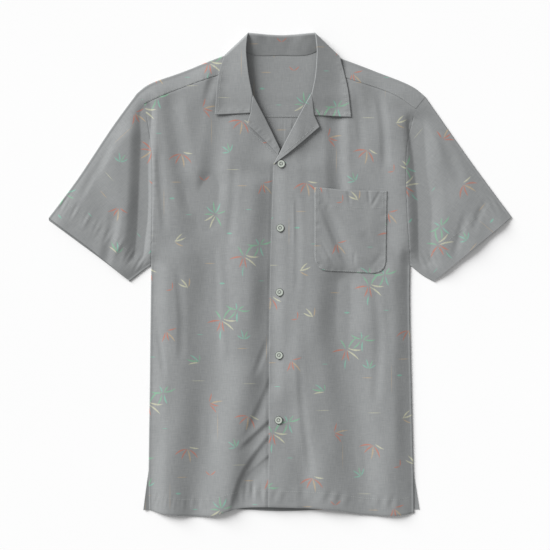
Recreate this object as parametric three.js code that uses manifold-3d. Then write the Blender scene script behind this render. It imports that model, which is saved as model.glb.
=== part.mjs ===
// A short-sleeved camp shirt, laid face up on a flat surface.
// The frame is in millimetres: +X is the wearer's left, +Y runs to the collar, +Z is up.
// The origin is on the surface, under the middle of the shirt.
import * as THREE from 'three';
import { mergeVertices } from 'three/addons/utils/BufferGeometryUtils.js';
import Module from 'manifold-3d';

const wasm = await Module();
wasm.setup();

// Cloth and seams
const CLOTH = 1.0; // one layer, measured square to the cloth
const GAP = 0.3; // between neighbours, at seams and between layers
const TURN = 1.5; // width of a turned edge, where a layer folds back under itself
const CLEAR = 6; // how far a cutting shape runs past an open edge

// Loft of the upper layer over the lower one
const LOFT = 3.6; // height of the air between the layers, away from the edges
const ROLL = 26; // width over which the upper layer comes down at a rolled edge
const PRESSED = 4; // width at a rolled edge that lies flat
const NECK_RISE = 4.5; // how far the cloth is lifted by the collar
const NECK_REACH = 45; // width over which that lift dies out
const NECK_START = { y: 190, length: 90 }; // where that lift starts, above the first button
const FADE = 34; // length over which a fold dies out at its end
const PAST_EDGE = 60; // how far the shape of the cloth is carried on past a cut edge
const SLOPE_SPAN = 3; // half the span over which the cloth's slope is measured

// Collar, lapels and yoke
const FALL = 1.2; // the leaf under the back of the neck
const FALL_ROOM = FALL + GAP; // the yoke is raised by this over that leaf
const FALL_SIDES = { middle: 2, half: 108, fade: 44 }; // how far across it is raised
const FALL_START = { y: 256, fade: 34 }; // how far down the back it is raised
const STAND_RISE = 7; // height that the stand gains from the neck seam to its top
const STAND_DEPTH = 34; // width of the stand at the centre back
const LEAF_REACH = 42; // width over which the leaf comes down from its fold
const LEAF_AIR = 0.6; // air under the leaf at its fold, at the gorge
const LEAF_CLIMB = { y: 280, length: 60, rise: 4 }; // more air beside the neck
const LEAF_CROWN = { y: 335, length: 50, rise: 5 }; // and over the shoulder's edge
const LEAF_HEEL = { y: 350, length: 20 }; // where its turned edge comes down behind the neck
const LAPEL_LIFT = 3; // how far a lapel's free edge stands off the front
const LAPEL_WIDTH = 45; // from the roll line to that edge

// Buttons
const BUTTON = 12.8; // diameter
const BUTTON_THICK = 2.4;
const BUTTON_RIM = { foot: 0.8, round: 0.6, width: 1.5, inner: 2.4, well: 0.7 };
const BUTTON_SIDES = 16;
const HOLE_RADIUS = 0.8;
const HOLE_SPACING = 1.5; // from the button's axis, along X and along Y
const HOLE_SIDES = 5;

// Centre overlap: the left front covers the right one as far as here
const UNDER_EDGE = 15.7;
const OVERLAP_FALL = [25, 45]; // X where the upper front starts and ends coming down

// The cloth is shaped on a lattice of points, closer across the folds than along them
const LATTICE = { x: 378, y: 396, stepX: 10.5, stepY: 24 };

// Seams and edges: the steps a line is cut in, then the X and Y of the points it passes
const EDGES = {
  shoulderRight: [9, [-57, 357.5], [-86.7, 351.4], [-155.5, 325], [-211.7, 304.2], [-229.5, 290.8]],
  shoulderLeft: [9, [232.5, 285.2], [213, 300.6], [154.1, 325], [89.3, 348.8], [61, 357.5]],
  sleeveFoldRight: [5, [-229.5, 290.8], [-268, 238.2], [-326.9, 150], [-370.9, 91.1]],
  sleeveFoldLeft: [5, [370.9, 92.4], [308.5, 177], [244.8, 267.6], [232.5, 285.2]],
  cuffRight: [3, [-370.9, 91.1], [-292.6, 32.4], [-241.1, -11]],
  cuffLeft: [3, [246, -11], [325.6, 54.5], [370.9, 92.4]],
  underarmRight: [2, [-241.1, -11], [-216.6, 7.9], [-206.7, 14.6]],
  underarmLeft: [2, [208.5, 14.6], [227.5, -0.6], [246, -11]],
  armholeRight: [7, [-206.7, 14.6], [-204.6, 135.4], [-205.9, 199.4], [-213.4, 252.2]],
  armholeLeft: [7, [213.1, 252.2], [202.9, 205.8], [201.9, 122.6], [208.5, 14.6]],
  yokeEndRight: [2, [-213.4, 252.2], [-217.9, 273.8]],
  yokeEndLeft: [2, [216.6, 265.5], [213.1, 252.2]],
  shoulderEndRight: [2, [-217.9, 273.8], [-229.5, 290.8]],
  shoulderEndLeft: [2, [232.5, 285.2], [216.6, 265.5]],
  sideRight: [5, [-211, -314.2], [-209.4, -200.6], [-207.4, -34.2], [-206.7, 14.6]],
  sideLeft: [5, [208.5, 14.6], [207.7, -34.2], [210.6, -184.6], [213.9, -318]],
  ventRight: [2, [-209.9, -376.6], [-211, -314.2]],
  ventLeft: [2, [213.9, -318], [214.4, -381.7]],
  hemRight: [8, [-209.9, -376.6], [-189.1, -382.3], [-112.3, -386.2], [-64.3, -374.2], [15.7, -371.8]],
  hemLeft: [9, [-18.9, -371.8], [82.4, -376.2], [133.4, -384.1], [191.7, -385.4], [214.4, -381.7]],
  backHem: [4, [-219.2, -377.2], [-61.8, -376.4], [1.3, -379], [83.7, -376], [222.7, -376.1]],
  backSeam: [2, [-213.4, 252.2], [213.1, 252.2]],
  frontSeamRight: [7, [-53.4, 334], [-112.3, 315.3], [-179.8, 290.8], [-217.9, 273.8]],
  frontSeamLeft: [7, [216.6, 265.5], [181.1, 288.4], [105.1, 314.6], [58.8, 332]],
  neck: [6, [61, 357.5], [42.9, 351], [1.3, 350.5], [-41.9, 351.1], [-57, 357.5]],
  placket: [5, [-11, 173.5], [-16.3, -8.6], [-18.9, -371.8]],
  underEdge: [1, [UNDER_EDGE, -371.8], [UNDER_EDGE, 170]],
  rollRight: [5, [-0.3, 201.4], [-20.2, 242.6], [-44, 288.2]],
  rollLeft: [5, [50.6, 291.1], [31.2, 256.2], [1.1, 199], [-10.6, 176.2]],
  frontNeckRight: [2, [-44, 288.2], [-49.3, 314.6], [-51.9, 334]],
  yokeNeckRight: [3, [-51.9, 334], [-53.8, 359.4], [-51, 387]],
  yokeNeckLeft: [3, [55.4, 387.1], [58.4, 359.4], [57.3, 332]],
  frontNeckLeft: [2, [57.3, 332], [55.4, 314.3], [50.6, 291.1]],
  collarTop: [4, [55.4, 387.1], [1.1, 383.4], [-51, 387]],
  collarSlopeRight: [4, [-51, 387], [-88.3, 352.4]],
  collarSlopeLeft: [4, [95, 349.8], [55.4, 387.1]],
  collarEdgeRight: [4, [-88.3, 352.4], [-98.7, 319.4], [-104.6, 255.6]],
  collarEdgeLeft: [4, [113.6, 251.9], [107.8, 298.8], [95, 349.8]],
  collarFrontRight: [1, [-104.6, 255.6], [-47.4, 258.2]],
  collarFrontLeft: [1, [54.4, 254.8], [113.6, 251.9]],
  gorgeRight: [1, [-47.4, 258.2], [-44, 288.2]],
  gorgeLeft: [1, [50.6, 291.1], [54.4, 254.8]],
  fallEdge: [5, [-88.3, 352.4], [-54.7, 318], [1.3, 311.4], [56, 318], [95, 349.8]],
  lapelTopRight: [1, [-47.4, 258.2], [-52.8, 240.7]],
  lapelTopLeft: [1, [62.9, 235.8], [54.4, 254.8]],
  lapelEdgeRight: [3, [-52.8, 240.7], [-20.2, 209.7], [-3.6, 191.8]],
  lapelEndRight: [1, [-3.6, 191.8], [-0.3, 201.4]],
  lapelEdgeLeft: [4, [-10.6, 176.2], [18.6, 198], [62.9, 235.8]],
};

// Patch pocket: corners and the radius of the lower ones
const POCKET = {
  corners: [[54.9, 139.3], [55, 6.4], [169, 1], [171.2, 133.8]],
  radius: 24,
};

// Folds: the rise of the fold's middle (a trough is below 0), its reach to the left and to
// the right, and the X and Y of the points that it runs through
const FOLDS = [
  {
    name: 'shoulder, right', rise: -2.8, left: 20, right: 22,
    way: [[-176, 300], [-166, 231], [-158, 175], [-140, 90]],
  },
  {
    name: 'collar, right', rise: -2.8, left: 24, right: 24,
    way: [[-88, 300], [-100, 220], [-112, 130], [-116, 60]],
  },
  { name: 'side, right', rise: 2.4, left: 40, right: 50, way: [[-168, 60], [-168, -137], [-178, -420]] },
  {
    name: 'chest, right', rise: -3.4, left: 54, right: 52,
    way: [[-118, 170], [-113, -9], [-111, -137], [-117, -265], [-126, -420]],
  },
  {
    name: 'breast, right', rise: 3.3, left: 52, right: 40,
    way: [[-46, 170], [-53, -9], [-62, -137], [-76, -265], [-98, -420]],
  },
  { name: 'placket, right', rise: -3.2, left: 38, right: 24, way: [[-14, 190], [-13, 60], [-17, -220]] },
  {
    name: 'drag, low', rise: -3.4, left: 30, right: 24,
    way: [[-10, -180], [-22, -265], [-44, -329], [-84, -420]],
  },
  {
    name: 'centre, left', rise: 3.0, left: 44, right: 46,
    way: [[44, 200], [50, 60], [50, -137], [62, -265], [86, -420]],
  },
  {
    name: 'collar, left', rise: -3.6, left: 24, right: 20,
    way: [[86, 290], [92, 231], [92, 183], [104, 50]],
  },
  {
    name: 'long, left', rise: -3.6, left: 44, right: 40,
    way: [[94, 60], [102, -73], [106, -137], [124, -265], [156, -420]],
  },
  { name: 'side, left', rise: 1.8, left: 50, right: 30, way: [[184, 30], [180, -137], [168, -420]] },
  {
    name: 'armhole, left', rise: 2.2, left: 30, right: 27,
    way: [[186, 270], [190, 199], [195, 100], [199, 20]],
  },
  {
    name: 'sleeve, left', rise: -3.7, left: 26, right: 26,
    way: [[211, 270], [216, 199], [222, 120], [227, -10]],
  },
  {
    name: 'sleeve, right', rise: -3.7, left: 28, right: 22,
    way: [[-213, 290], [-218, 199], [-220, 90], [-229, 0]],
  },
  {
    name: 'sleeve crown, right', rise: 3.2, left: 50, right: 28,
    way: [[-236, 280], [-245, 199], [-247, 100], [-254, 20]],
  },
  { name: 'cuff, right', rise: -1.8, left: 15, right: 13, way: [[-260, 120], [-268, 71], [-285, -5]] },
  { name: 'sleeve slant, left', rise: -1.4, left: 16, right: 16, way: [[240, 270], [296, 130]] },
];

// Buttons, from the collar down
const BUTTONS = [
  { x: 1.6, y: 177.0 },
  { x: 0, y: 74.6 },
  { x: -1.1, y: -28.2 },
  { x: -1.8, y: -129 },
  { x: -2.6, y: -232.6 },
];

// Centre box pleat of the back: two close folds that die out down the back
const PLEAT = { left: 6.9, right: 18.6, top: 251.6, length: 150, rise: 0.9 };

const CLOTH_COLOUR = '#8d9192';
const BUTTON_COLOUR = '#8f958f';

const ease = (value) => {
  const t = Math.min(1, Math.max(0, value));
  return t * t * (3 - 2 * t);
};

// A smooth line through an edge's points, cut in equal steps
const lines = Object.fromEntries(Object.entries(EDGES).map(([name, [steps, ...points]]) => {
  const knots = points.map(([x, y]) => new THREE.Vector3(x, y, 0));
  if (knots.length === 2) {
    return [name, new THREE.LineCurve3(...knots).getPoints(steps)];
  }
  const curve = new THREE.CatmullRomCurve3(knots, false, 'centripetal');
  return [name, curve.getSpacedPoints(steps)];
}));

// A line moved sideways: outwards is to the right of its direction
function shifted(line, outwards) {
  return line.map((point, index) => {
    const before = line[Math.max(0, index - 1)];
    const after = line[Math.min(line.length - 1, index + 1)];
    const along = after.clone().sub(before).normalize();
    return new THREE.Vector3(point.x + along.y * outwards, point.y - along.x * outwards, 0);
  });
}

// Lines joined end to end into one closed outline, without double points
function chain(...parts) {
  const outline = [];
  for (const point of parts.flat()) {
    const last = outline[outline.length - 1];
    if (!last || last.distanceTo(point) > GAP) {
      outline.push(point);
    }
  }
  if (outline[0].distanceTo(outline[outline.length - 1]) <= GAP) {
    outline.pop();
  }
  return outline;
}

// A closed outline, drawn in by the same amount all round
function drawnIn(outline, amount) {
  const count = outline.length;
  return outline.map((point, index) => {
    const into = point.clone().sub(outline[(index + count - 1) % count]).normalize();
    const out = outline[(index + 1) % count].clone().sub(point).normalize();
    const bisector = new THREE.Vector3(-into.y - out.y, into.x + out.x, 0).normalize();
    const reach = amount / Math.max(0.4, bisector.dot(new THREE.Vector3(-into.y, into.x, 0)));
    return point.clone().addScaledVector(bisector, reach);
  });
}

// Distance from a point to a line, with the nearest point and how far along it is
function nearest(line, x, y) {
  const found = { distance: Infinity, x: 0, along: 0, length: 0 };
  for (let index = 1; index < line.length; index += 1) {
    const [start, end] = [line[index - 1], line[index]];
    const [spanX, spanY] = [end.x - start.x, end.y - start.y];
    const span = Math.hypot(spanX, spanY);
    const raw = ((x - start.x) * spanX + (y - start.y) * spanY) / (span * span);
    const part = Math.min(1, Math.max(0, raw));
    const distance = Math.hypot(x - start.x - part * spanX, y - start.y - part * spanY);
    if (distance < found.distance) {
      found.distance = distance;
      found.x = start.x + part * spanX;
      found.along = found.length + part * span;
    }
    found.length += span;
  }
  return found;
}

function isInside(outline, x, y) {
  let inside = false;
  outline.forEach((end, index) => {
    const start = outline[(index + outline.length - 1) % outline.length];
    const crosses = (start.y > y) !== (end.y > y);
    if (crosses && x < start.x + (end.x - start.x) * (y - start.y) / (end.y - start.y)) {
      inside = !inside;
    }
  });
  return inside;
}

const reversed = (line) => [...line].reverse();

// Lines that follow on from each other, as one line
const joined = (first, ...others) => [first, ...others.map((line) => line.slice(1))].flat();

// A line carried straight on past its last point
function carriedOn(line, length) {
  const [before, last] = line.slice(-2);
  const onward = last.clone().sub(before).setLength(length).add(last);
  return [...line, onward];
}

// The collar's fold beside the neck, over the front's neck edge and then the yoke's
const collarFoldRight = joined(lines.frontNeckRight, lines.yokeNeckRight);
const collarFoldLeft = joined(lines.yokeNeckLeft, lines.frontNeckLeft);

// Edges where the upper layer is rolled down to the lower one. They run on past the hem
// and the cuffs, which are cut edges and keep the cloth's height
const rolledEdges = [
  carriedOn(reversed(joined(lines.sleeveFoldLeft, lines.shoulderLeft)), PAST_EDGE),
  carriedOn(joined(lines.shoulderRight, lines.sleeveFoldRight), PAST_EDGE),
  carriedOn(reversed(joined(lines.ventRight, lines.sideRight)), PAST_EDGE),
  carriedOn(joined(lines.sideLeft, lines.ventLeft), PAST_EDGE),
  carriedOn(reversed(lines.underarmRight), PAST_EDGE),
  carriedOn(lines.underarmLeft, PAST_EDGE),
];
const [foldLeft, foldRight, sideRight, sideLeft, underarmRight, underarmLeft] = rolledEdges;
const silhouette = [
  ...reversed(sideLeft),
  ...underarmLeft,
  ...reversed(foldLeft),
  ...foldRight,
  ...reversed(underarmRight),
  ...sideRight,
];
const neckEdges = [
  joined(lines.rollRight, collarFoldRight),
  joined(collarFoldLeft, lines.rollLeft),
];
const foldLines = FOLDS.map((fold) => fold.way.map(([x, y]) => new THREE.Vector3(x, y, 0)));

// The yoke's inner layer is raised where the back of the collar lies under it
function lowerUnderside(x, y) {
  const across = 1 - ease((Math.abs(x - FALL_SIDES.middle) - FALL_SIDES.half) / FALL_SIDES.fade);
  return FALL_ROOM * across * ease((y - FALL_START.y) / FALL_START.fade);
}

function foldRelief(x, y) {
  let relief = 0;
  FOLDS.forEach((fold, index) => {
    const foot = nearest(foldLines[index], x, y);
    const reach = x > foot.x ? fold.right : fold.left;
    if (foot.distance < reach) {
      const ends = ease(foot.along / FADE) * ease((foot.length - foot.along) / FADE);
      relief += fold.rise * ends * (1 + Math.cos(Math.PI * foot.distance / reach)) / 2;
    }
  });
  return relief;
}

// Lift of the cloth beside the neck, from the end of the lapels to the collar
function neckRelief(x, y) {
  const distance = Math.min(...neckEdges.map((edge) => nearest(edge, x, y).distance));
  const nearness = Math.max(0, 1 - distance / NECK_REACH);
  return NECK_RISE * nearness * nearness * ease((y - NECK_START.y) / NECK_START.length);
}

// Underside of the upper layer
const heights = new Map();
function upperUnderside(x, y) {
  const key = `${x.toFixed(2)} ${y.toFixed(2)}`;
  if (!heights.has(key)) {
    let rise = 0;
    if (isInside(silhouette, x, y)) {
      const distance = Math.min(...rolledEdges.map((edge) => nearest(edge, x, y).distance));
      const part = Math.min(1, Math.max(0, (distance - PRESSED) / ROLL));
      rise = Math.sin(part * Math.PI / 2) * (LOFT + foldRelief(x, y) + neckRelief(x, y));
    }
    heights.set(key, lowerUnderside(x, y) + CLOTH + GAP + Math.max(0, rise));
  }
  return heights.get(key);
}

// Height that a wall needs, straight up, to be as thick as the cloth where it slopes
function wallHeight(x, y) {
  const climbX = upperUnderside(x + SLOPE_SPAN, y) - upperUnderside(x - SLOPE_SPAN, y);
  const climbY = upperUnderside(x, y + SLOPE_SPAN) - upperUnderside(x, y - SLOPE_SPAN);
  return CLOTH * Math.hypot(1, climbX / (2 * SLOPE_SPAN), climbY / (2 * SLOPE_SPAN));
}

// Underside of the layer with so many layers between it and the upper layer's underside
const level = (layers) => (x, y) => (
  upperUnderside(x, y) + layers * (wallHeight(x, y) + GAP)
);

// On the wearer's left the front starts one layer up, over the other front's edge
const leftLevel = (layers) => (x, y) => {
  const [start, end] = OVERLAP_FALL;
  return level(layers + 1 - ease((x - start) / (end - start)))(x, y);
};

const topOf = (underside) => (x, y) => underside(x, y) + wallHeight(x, y);

function solidFrom(geometry) {
  geometry.deleteAttribute('normal');
  geometry.deleteAttribute('uv');
  const merged = mergeVertices(geometry, 1e-4);
  return new wasm.Manifold(new wasm.Mesh({
    numProp: 3,
    vertProperties: new Float32Array(merged.attributes.position.array),
    triVerts: new Uint32Array(merged.index.array),
  }));
}

// A flat-sided block with the outline's shape, between two heights
function block(outline, low, high) {
  const shape = new THREE.Shape(outline.map((point) => new THREE.Vector2(point.x, point.y)));
  const geometry = new THREE.ExtrudeGeometry(shape, { depth: high - low, bevelEnabled: false });
  return solidFrom(geometry.translate(0, 0, low));
}

// The solid between two shaped surfaces, over the lattice cells that an outline touches
function shapedSlab(outline, under, over) {
  const xs = outline.map((point) => point.x);
  const ys = outline.map((point) => point.y);
  const first = {
    x: Math.floor((Math.min(...xs) + LATTICE.x) / LATTICE.stepX) - 1,
    y: Math.floor((Math.min(...ys) + LATTICE.y) / LATTICE.stepY) - 1,
  };
  const countX = Math.ceil((Math.max(...xs) + LATTICE.x) / LATTICE.stepX) + 2 - first.x;
  const countY = Math.ceil((Math.max(...ys) + LATTICE.y) / LATTICE.stepY) + 2 - first.y;
  const points = [];
  const faces = [];
  for (const surface of [under, over]) {
    for (let row = 0; row < countY; row += 1) {
      for (let column = 0; column < countX; column += 1) {
        const x = (first.x + column) * LATTICE.stepX - LATTICE.x;
        const y = (first.y + row) * LATTICE.stepY - LATTICE.y;
        points.push(x, y, surface(x, y));
      }
    }
  }
  const top = countX * countY;
  const quad = (a, b, c, d) => faces.push(a, b, c, a, c, d);
  for (let row = 0; row < countY - 1; row += 1) {
    for (let column = 0; column < countX - 1; column += 1) {
      const a = row * countX + column;
      faces.push(a, a + countX + 1, a + 1, a, a + countX, a + countX + 1);
      quad(top + a, top + a + 1, top + a + countX + 1, top + a + countX);
    }
  }
  const lastRow = (countY - 1) * countX;
  for (let column = 0; column < countX - 1; column += 1) {
    quad(column, column + 1, top + column + 1, top + column);
    quad(lastRow + column + 1, lastRow + column, top + lastRow + column, top + lastRow + column + 1);
  }
  for (let row = 0; row < countY - 1; row += 1) {
    const a = row * countX;
    const b = a + countX - 1;
    quad(a + countX, a, top + a, top + a + countX);
    quad(b, b + countX, top + b + countX, top + b);
  }
  const geometry = new THREE.BufferGeometry();
  geometry.setAttribute('position', new THREE.Float32BufferAttribute(points, 3));
  geometry.setIndex(faces);
  return solidFrom(geometry);
}

// Cloth cut to an outline: the shaped solid between two surfaces, inside the outline
function cut(outline, under, over) {
  const [below, above] = [-2 * CLEAR, 10 * CLEAR];
  return shapedSlab(outline, under, over).intersect(block(outline, below, above));
}

// A panel's edges in order, anticlockwise. A turned edge is where its cloth folds under
const openEdge = (line) => ({ line, reach: CLEAR });
const turnedEdge = (line) => ({ line, reach: -TURN });
const seam = GAP / 2;

// The outline of a panel, drawn in by half a gap
function panel(...edges) {
  return drawnIn(chain(...edges.map((edge) => edge.line)), seam);
}

// The outline of the room inside a folded panel, which runs out through its open edges.
// Where two turned edges meet, both stop a step short, so that their corner is filled
function room(...edges) {
  const count = edges.length;
  const isTurned = (index) => edges[(index + count) % count].reach < 0;
  return chain(...edges.map((edge, index) => {
    const line = shifted(edge.line, edge.reach);
    const start = isTurned(index) && isTurned(index - 1) ? 1 : 0;
    const end = isTurned(index) && isTurned(index + 1) ? line.length - 1 : line.length;
    return line.slice(start, end);
  }));
}

function backPiece() {
  const outline = panel(...[
    lines.backHem,
    reversed(lines.sideLeft),
    reversed(lines.armholeLeft),
    reversed(lines.backSeam),
    reversed(lines.armholeRight),
    reversed(lines.sideRight),
  ].map(openEdge));
  const pleat = new THREE.BoxGeometry(PLEAT.right - PLEAT.left, PLEAT.length, CLOTH);
  const corners = pleat.attributes.position;
  for (let index = 0; index < corners.count; index += 1) {
    const rise = corners.getY(index) > 0 ? CLOTH + PLEAT.rise : CLOTH;
    corners.setZ(index, corners.getZ(index) > 0 ? rise : CLOTH / 2);
  }
  pleat.translate((PLEAT.left + PLEAT.right) / 2, PLEAT.top - PLEAT.length / 2, 0);
  return block(outline, 0, CLOTH).add(solidFrom(pleat));
}

// The yoke runs over both shoulders: an inner layer at the back, a turned edge along each
// shoulder, and a strip on top that ends at the front seam
function yokePiece() {
  const edges = [
    openEdge(lines.backSeam),
    openEdge(reversed(lines.yokeEndLeft)),
    openEdge(reversed(lines.shoulderEndLeft)),
    turnedEdge(lines.shoulderLeft),
    openEdge(lines.neck),
    turnedEdge(lines.shoulderRight),
    openEdge(reversed(lines.shoulderEndRight)),
    openEdge(reversed(lines.yokeEndRight)),
  ];
  const uncovered = chain(
    shifted(lines.backSeam, CLEAR),
    shifted(lines.frontSeamLeft, seam),
    shifted(reversed(lines.yokeNeckLeft), TURN + seam),
    shifted(reversed(lines.yokeNeckRight), TURN + seam),
    shifted(lines.frontSeamRight, seam),
  );
  const lowerTop = (x, y) => lowerUnderside(x, y) + CLOTH;
  const above = (x, y) => level(0)(x, y) + CLEAR;
  return cut(panel(...edges), lowerUnderside, topOf(level(0)))
    .subtract(cut(room(...edges), lowerTop, level(0)))
    .subtract(cut(uncovered, lowerTop, above));
}

function frontRightPiece() {
  const outline = panel(...[
    lines.hemRight,
    lines.underEdge,
    shifted(lines.rollRight, -TURN),
    shifted(lines.frontNeckRight, -TURN),
    lines.frontSeamRight,
    reversed(lines.yokeEndRight),
    reversed(lines.armholeRight),
    reversed(lines.sideRight),
    reversed(lines.ventRight),
  ].map(openEdge));
  return cut(outline, level(0), topOf(level(0)));
}

function frontLeftPiece() {
  const outline = panel(...[
    lines.hemLeft,
    reversed(lines.ventLeft),
    reversed(lines.sideLeft),
    reversed(lines.armholeLeft),
    reversed(lines.yokeEndLeft),
    lines.frontSeamLeft,
    shifted(lines.frontNeckLeft, -TURN),
    shifted(lines.rollLeft, -TURN),
    lines.placket,
  ].map(openEdge));
  return cut(outline, leftLevel(0), topOf(leftLevel(0)));
}

// A sleeve is a flat tube: solid from the surface up, less the room between its layers
function sleevePiece(edges) {
  const floor = () => 0;
  const lowerTop = () => CLOTH;
  return cut(panel(...edges), floor, topOf(level(0)))
    .subtract(cut(room(...edges), lowerTop, level(0)));
}

const sleeveRightPiece = () => sleevePiece([
  turnedEdge(lines.sleeveFoldRight),
  openEdge(lines.cuffRight),
  turnedEdge(lines.underarmRight),
  openEdge(lines.armholeRight),
  openEdge(lines.yokeEndRight),
  openEdge(lines.shoulderEndRight),
]);

const sleeveLeftPiece = () => sleevePiece([
  openEdge(lines.shoulderEndLeft),
  openEdge(lines.yokeEndLeft),
  openEdge(lines.armholeLeft),
  turnedEdge(lines.underarmLeft),
  openEdge(lines.cuffLeft),
  turnedEdge(lines.sleeveFoldLeft),
]);

// Cloth that lies on a panel and hooks over its edge: solid from its foot up, less the
// room under it, which the turned edges close
function hooked(edges, foot, underside) {
  const below = () => -CLEAR;
  return cut(panel(...edges), foot, topOf(underside))
    .subtract(cut(room(...edges), below, underside));
}

// A lapel lies on its front, from the roll line to a free edge that stands off the cloth
function lapelPiece(edges, roll, onCloth) {
  const lift = (x, y) => LAPEL_LIFT * Math.min(1, nearest(roll, x, y).distance / LAPEL_WIDTH);
  return hooked(edges, onCloth(0), (x, y) => onCloth(1)(x, y) + lift(x, y));
}

const facingRightPiece = () => lapelPiece([
  turnedEdge(lines.rollRight),
  openEdge(reversed(lines.gorgeRight)),
  openEdge(lines.lapelTopRight),
  openEdge(lines.lapelEdgeRight),
  openEdge(lines.lapelEndRight),
], lines.rollRight, level);

const facingLeftPiece = () => lapelPiece([
  openEdge(lines.lapelEdgeLeft),
  openEdge(lines.lapelTopLeft),
  openEdge(reversed(lines.gorgeLeft)),
  turnedEdge(lines.rollLeft),
], lines.rollLeft, leftLevel);

// A collar leaf is highest at its fold and towards the shoulder, where it rolls over the
// shoulder's edge. The turned edge at its fold is the stand beside the neck
function collarLeaf(edges, fold, onCloth) {
  const air = (x, y) => {
    const nearness = Math.max(0, 1 - nearest(fold, x, y).distance / LEAF_REACH);
    const climb = LEAF_CLIMB.rise * ease((y - LEAF_CLIMB.y) / LEAF_CLIMB.length);
    const crown = LEAF_CROWN.rise * ease((y - LEAF_CROWN.y) / LEAF_CROWN.length);
    return (LEAF_AIR + climb + crown) * nearness * nearness;
  };
  const foot = (x, y) => {
    const past = ease((y - LEAF_HEEL.y) / LEAF_HEEL.length);
    return onCloth(0)(x, y) * (1 - past) + past * FALL / 2;
  };
  return hooked(edges, foot, (x, y) => onCloth(1)(x, y) + air(x, y));
}

// The collar: a leaf on each front, the stand inside the neck, rising to the top edge, and
// the leaf that falls behind the neck and lies under the yoke
function collarPiece() {
  const inner = seam * 2;
  const leafRight = collarLeaf([
    openEdge(lines.gorgeRight),
    turnedEdge(collarFoldRight),
    turnedEdge(lines.collarSlopeRight),
    openEdge(lines.collarEdgeRight),
    openEdge(lines.collarFrontRight),
  ], collarFoldRight, level);
  const leafLeft = collarLeaf([
    openEdge(lines.gorgeLeft),
    openEdge(lines.collarFrontLeft),
    openEdge(lines.collarEdgeLeft),
    turnedEdge(lines.collarSlopeLeft),
    turnedEdge(collarFoldLeft),
  ], collarFoldLeft, leftLevel);
  const seamY = lines.neck[3].y;
  const standUnderside = (x, y) => FALL_ROOM + STAND_RISE * (y - seamY) / STAND_DEPTH;
  const standTop = (x, y) => standUnderside(x, y) + CLOTH;
  const standMiddle = (x, y) => standUnderside(x, y) + CLOTH / 2;
  const stand = cut(drawnIn(chain(reversed(lines.neck), lines.collarTop), seam),
    standUnderside, standTop);
  const topEdge = cut(
    drawnIn(chain(lines.collarTop, reversed(shifted(lines.collarTop, -2 * TURN))), inner),
    () => FALL / 2,
    standMiddle,
  );
  const fall = block(drawnIn(chain(
    lines.fallEdge,
    lines.collarSlopeLeft,
    lines.collarTop,
    lines.collarSlopeRight,
  ), inner), 0, FALL);
  return stand.add(topEdge).add(fall).add(leafRight).add(leafLeft);
}

// The pocket lies on the left front, with a straight mouth and rounded lower corners
function pocketPiece() {
  const corners = POCKET.corners.map(([x, y]) => new THREE.Vector3(x, y, 0));
  const roundSteps = 4;
  const outline = corners.flatMap((corner, index) => {
    if (index === 0 || index === corners.length - 1) {
      return [corner];
    }
    const towards = (other) => other.clone().sub(corner).setLength(POCKET.radius).add(corner);
    const start = towards(corners[index - 1]);
    const end = towards(corners[index + 1]);
    return new THREE.QuadraticBezierCurve3(start, corner, end).getPoints(roundSteps);
  });
  return cut(outline, leftLevel(1), topOf(leftLevel(1)));
}

// The cloth's height under a button: the highest lattice point around it
function seatHeight({ x, y }) {
  const heightsAround = [-1, 0, 1].flatMap((across) => [-1, 0, 1].map((along) => (
    leftLevel(1)(x + across * LATTICE.stepX, y + along * LATTICE.stepY)
  )));
  return Math.max(...heightsAround);
}

// A button: a turned disc with a raised rim and four holes for the thread
function buttonPiece(place) {
  const radius = BUTTON / 2;
  const well = BUTTON_THICK * BUTTON_RIM.well;
  const profile = [
    [0, 0],
    [radius - BUTTON_RIM.foot, 0],
    [radius, BUTTON_RIM.foot],
    [radius, BUTTON_THICK - BUTTON_RIM.round],
    [radius - BUTTON_RIM.round, BUTTON_THICK],
    [radius - BUTTON_RIM.width, BUTTON_THICK],
    [radius - BUTTON_RIM.inner, well],
    [0, well],
  ].map(([x, y]) => new THREE.Vector2(x, y));
  let button = solidFrom(new THREE.LatheGeometry(profile, BUTTON_SIDES).rotateX(Math.PI / 2));
  for (const across of [-1, 1]) {
    for (const along of [-1, 1]) {
      const depth = 4 * BUTTON_THICK;
      const hole = new THREE.CylinderGeometry(HOLE_RADIUS, HOLE_RADIUS, depth, HOLE_SIDES);
      hole.rotateX(Math.PI / 2).translate(across * HOLE_SPACING, along * HOLE_SPACING, 0);
      button = button.subtract(solidFrom(hole));
    }
  }
  return button.translate([place.x, place.y, seatHeight(place)]);
}

const cloth = { color: CLOTH_COLOUR, roughness: 0.9, metalness: 0 };
const buttonFinish = { color: BUTTON_COLOUR, roughness: 0.45, metalness: 0 };
const group = new THREE.Group();

function addPiece(name, solid, finish) {
  const { vertProperties, triVerts } = solid.getMesh();
  const geometry = new THREE.BufferGeometry();
  geometry.setAttribute('position', new THREE.BufferAttribute(vertProperties, 3));
  geometry.setIndex(new THREE.BufferAttribute(triVerts, 1));
  geometry.computeVertexNormals();
  const mesh = new THREE.Mesh(geometry, new THREE.MeshStandardMaterial(finish));
  mesh.name = name;
  group.add(mesh);
}

addPiece('back', backPiece(), cloth);
addPiece('yoke', yokePiece(), cloth);
addPiece('front_right', frontRightPiece(), cloth);
addPiece('front_left', frontLeftPiece(), cloth);
addPiece('sleeve_right', sleeveRightPiece(), cloth);
addPiece('sleeve_left', sleeveLeftPiece(), cloth);
addPiece('facing_right', facingRightPiece(), cloth);
addPiece('facing_left', facingLeftPiece(), cloth);
addPiece('collar', collarPiece(), cloth);
addPiece('pocket', pocketPiece(), cloth);
BUTTONS.forEach((place, index) => {
  addPiece(`button_${index + 1}`, buttonPiece(place), buttonFinish);
});

export default group;
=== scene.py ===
"""A short-sleeved camp shirt, buttoned and laid face up on a pale surface."""
import random

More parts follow.
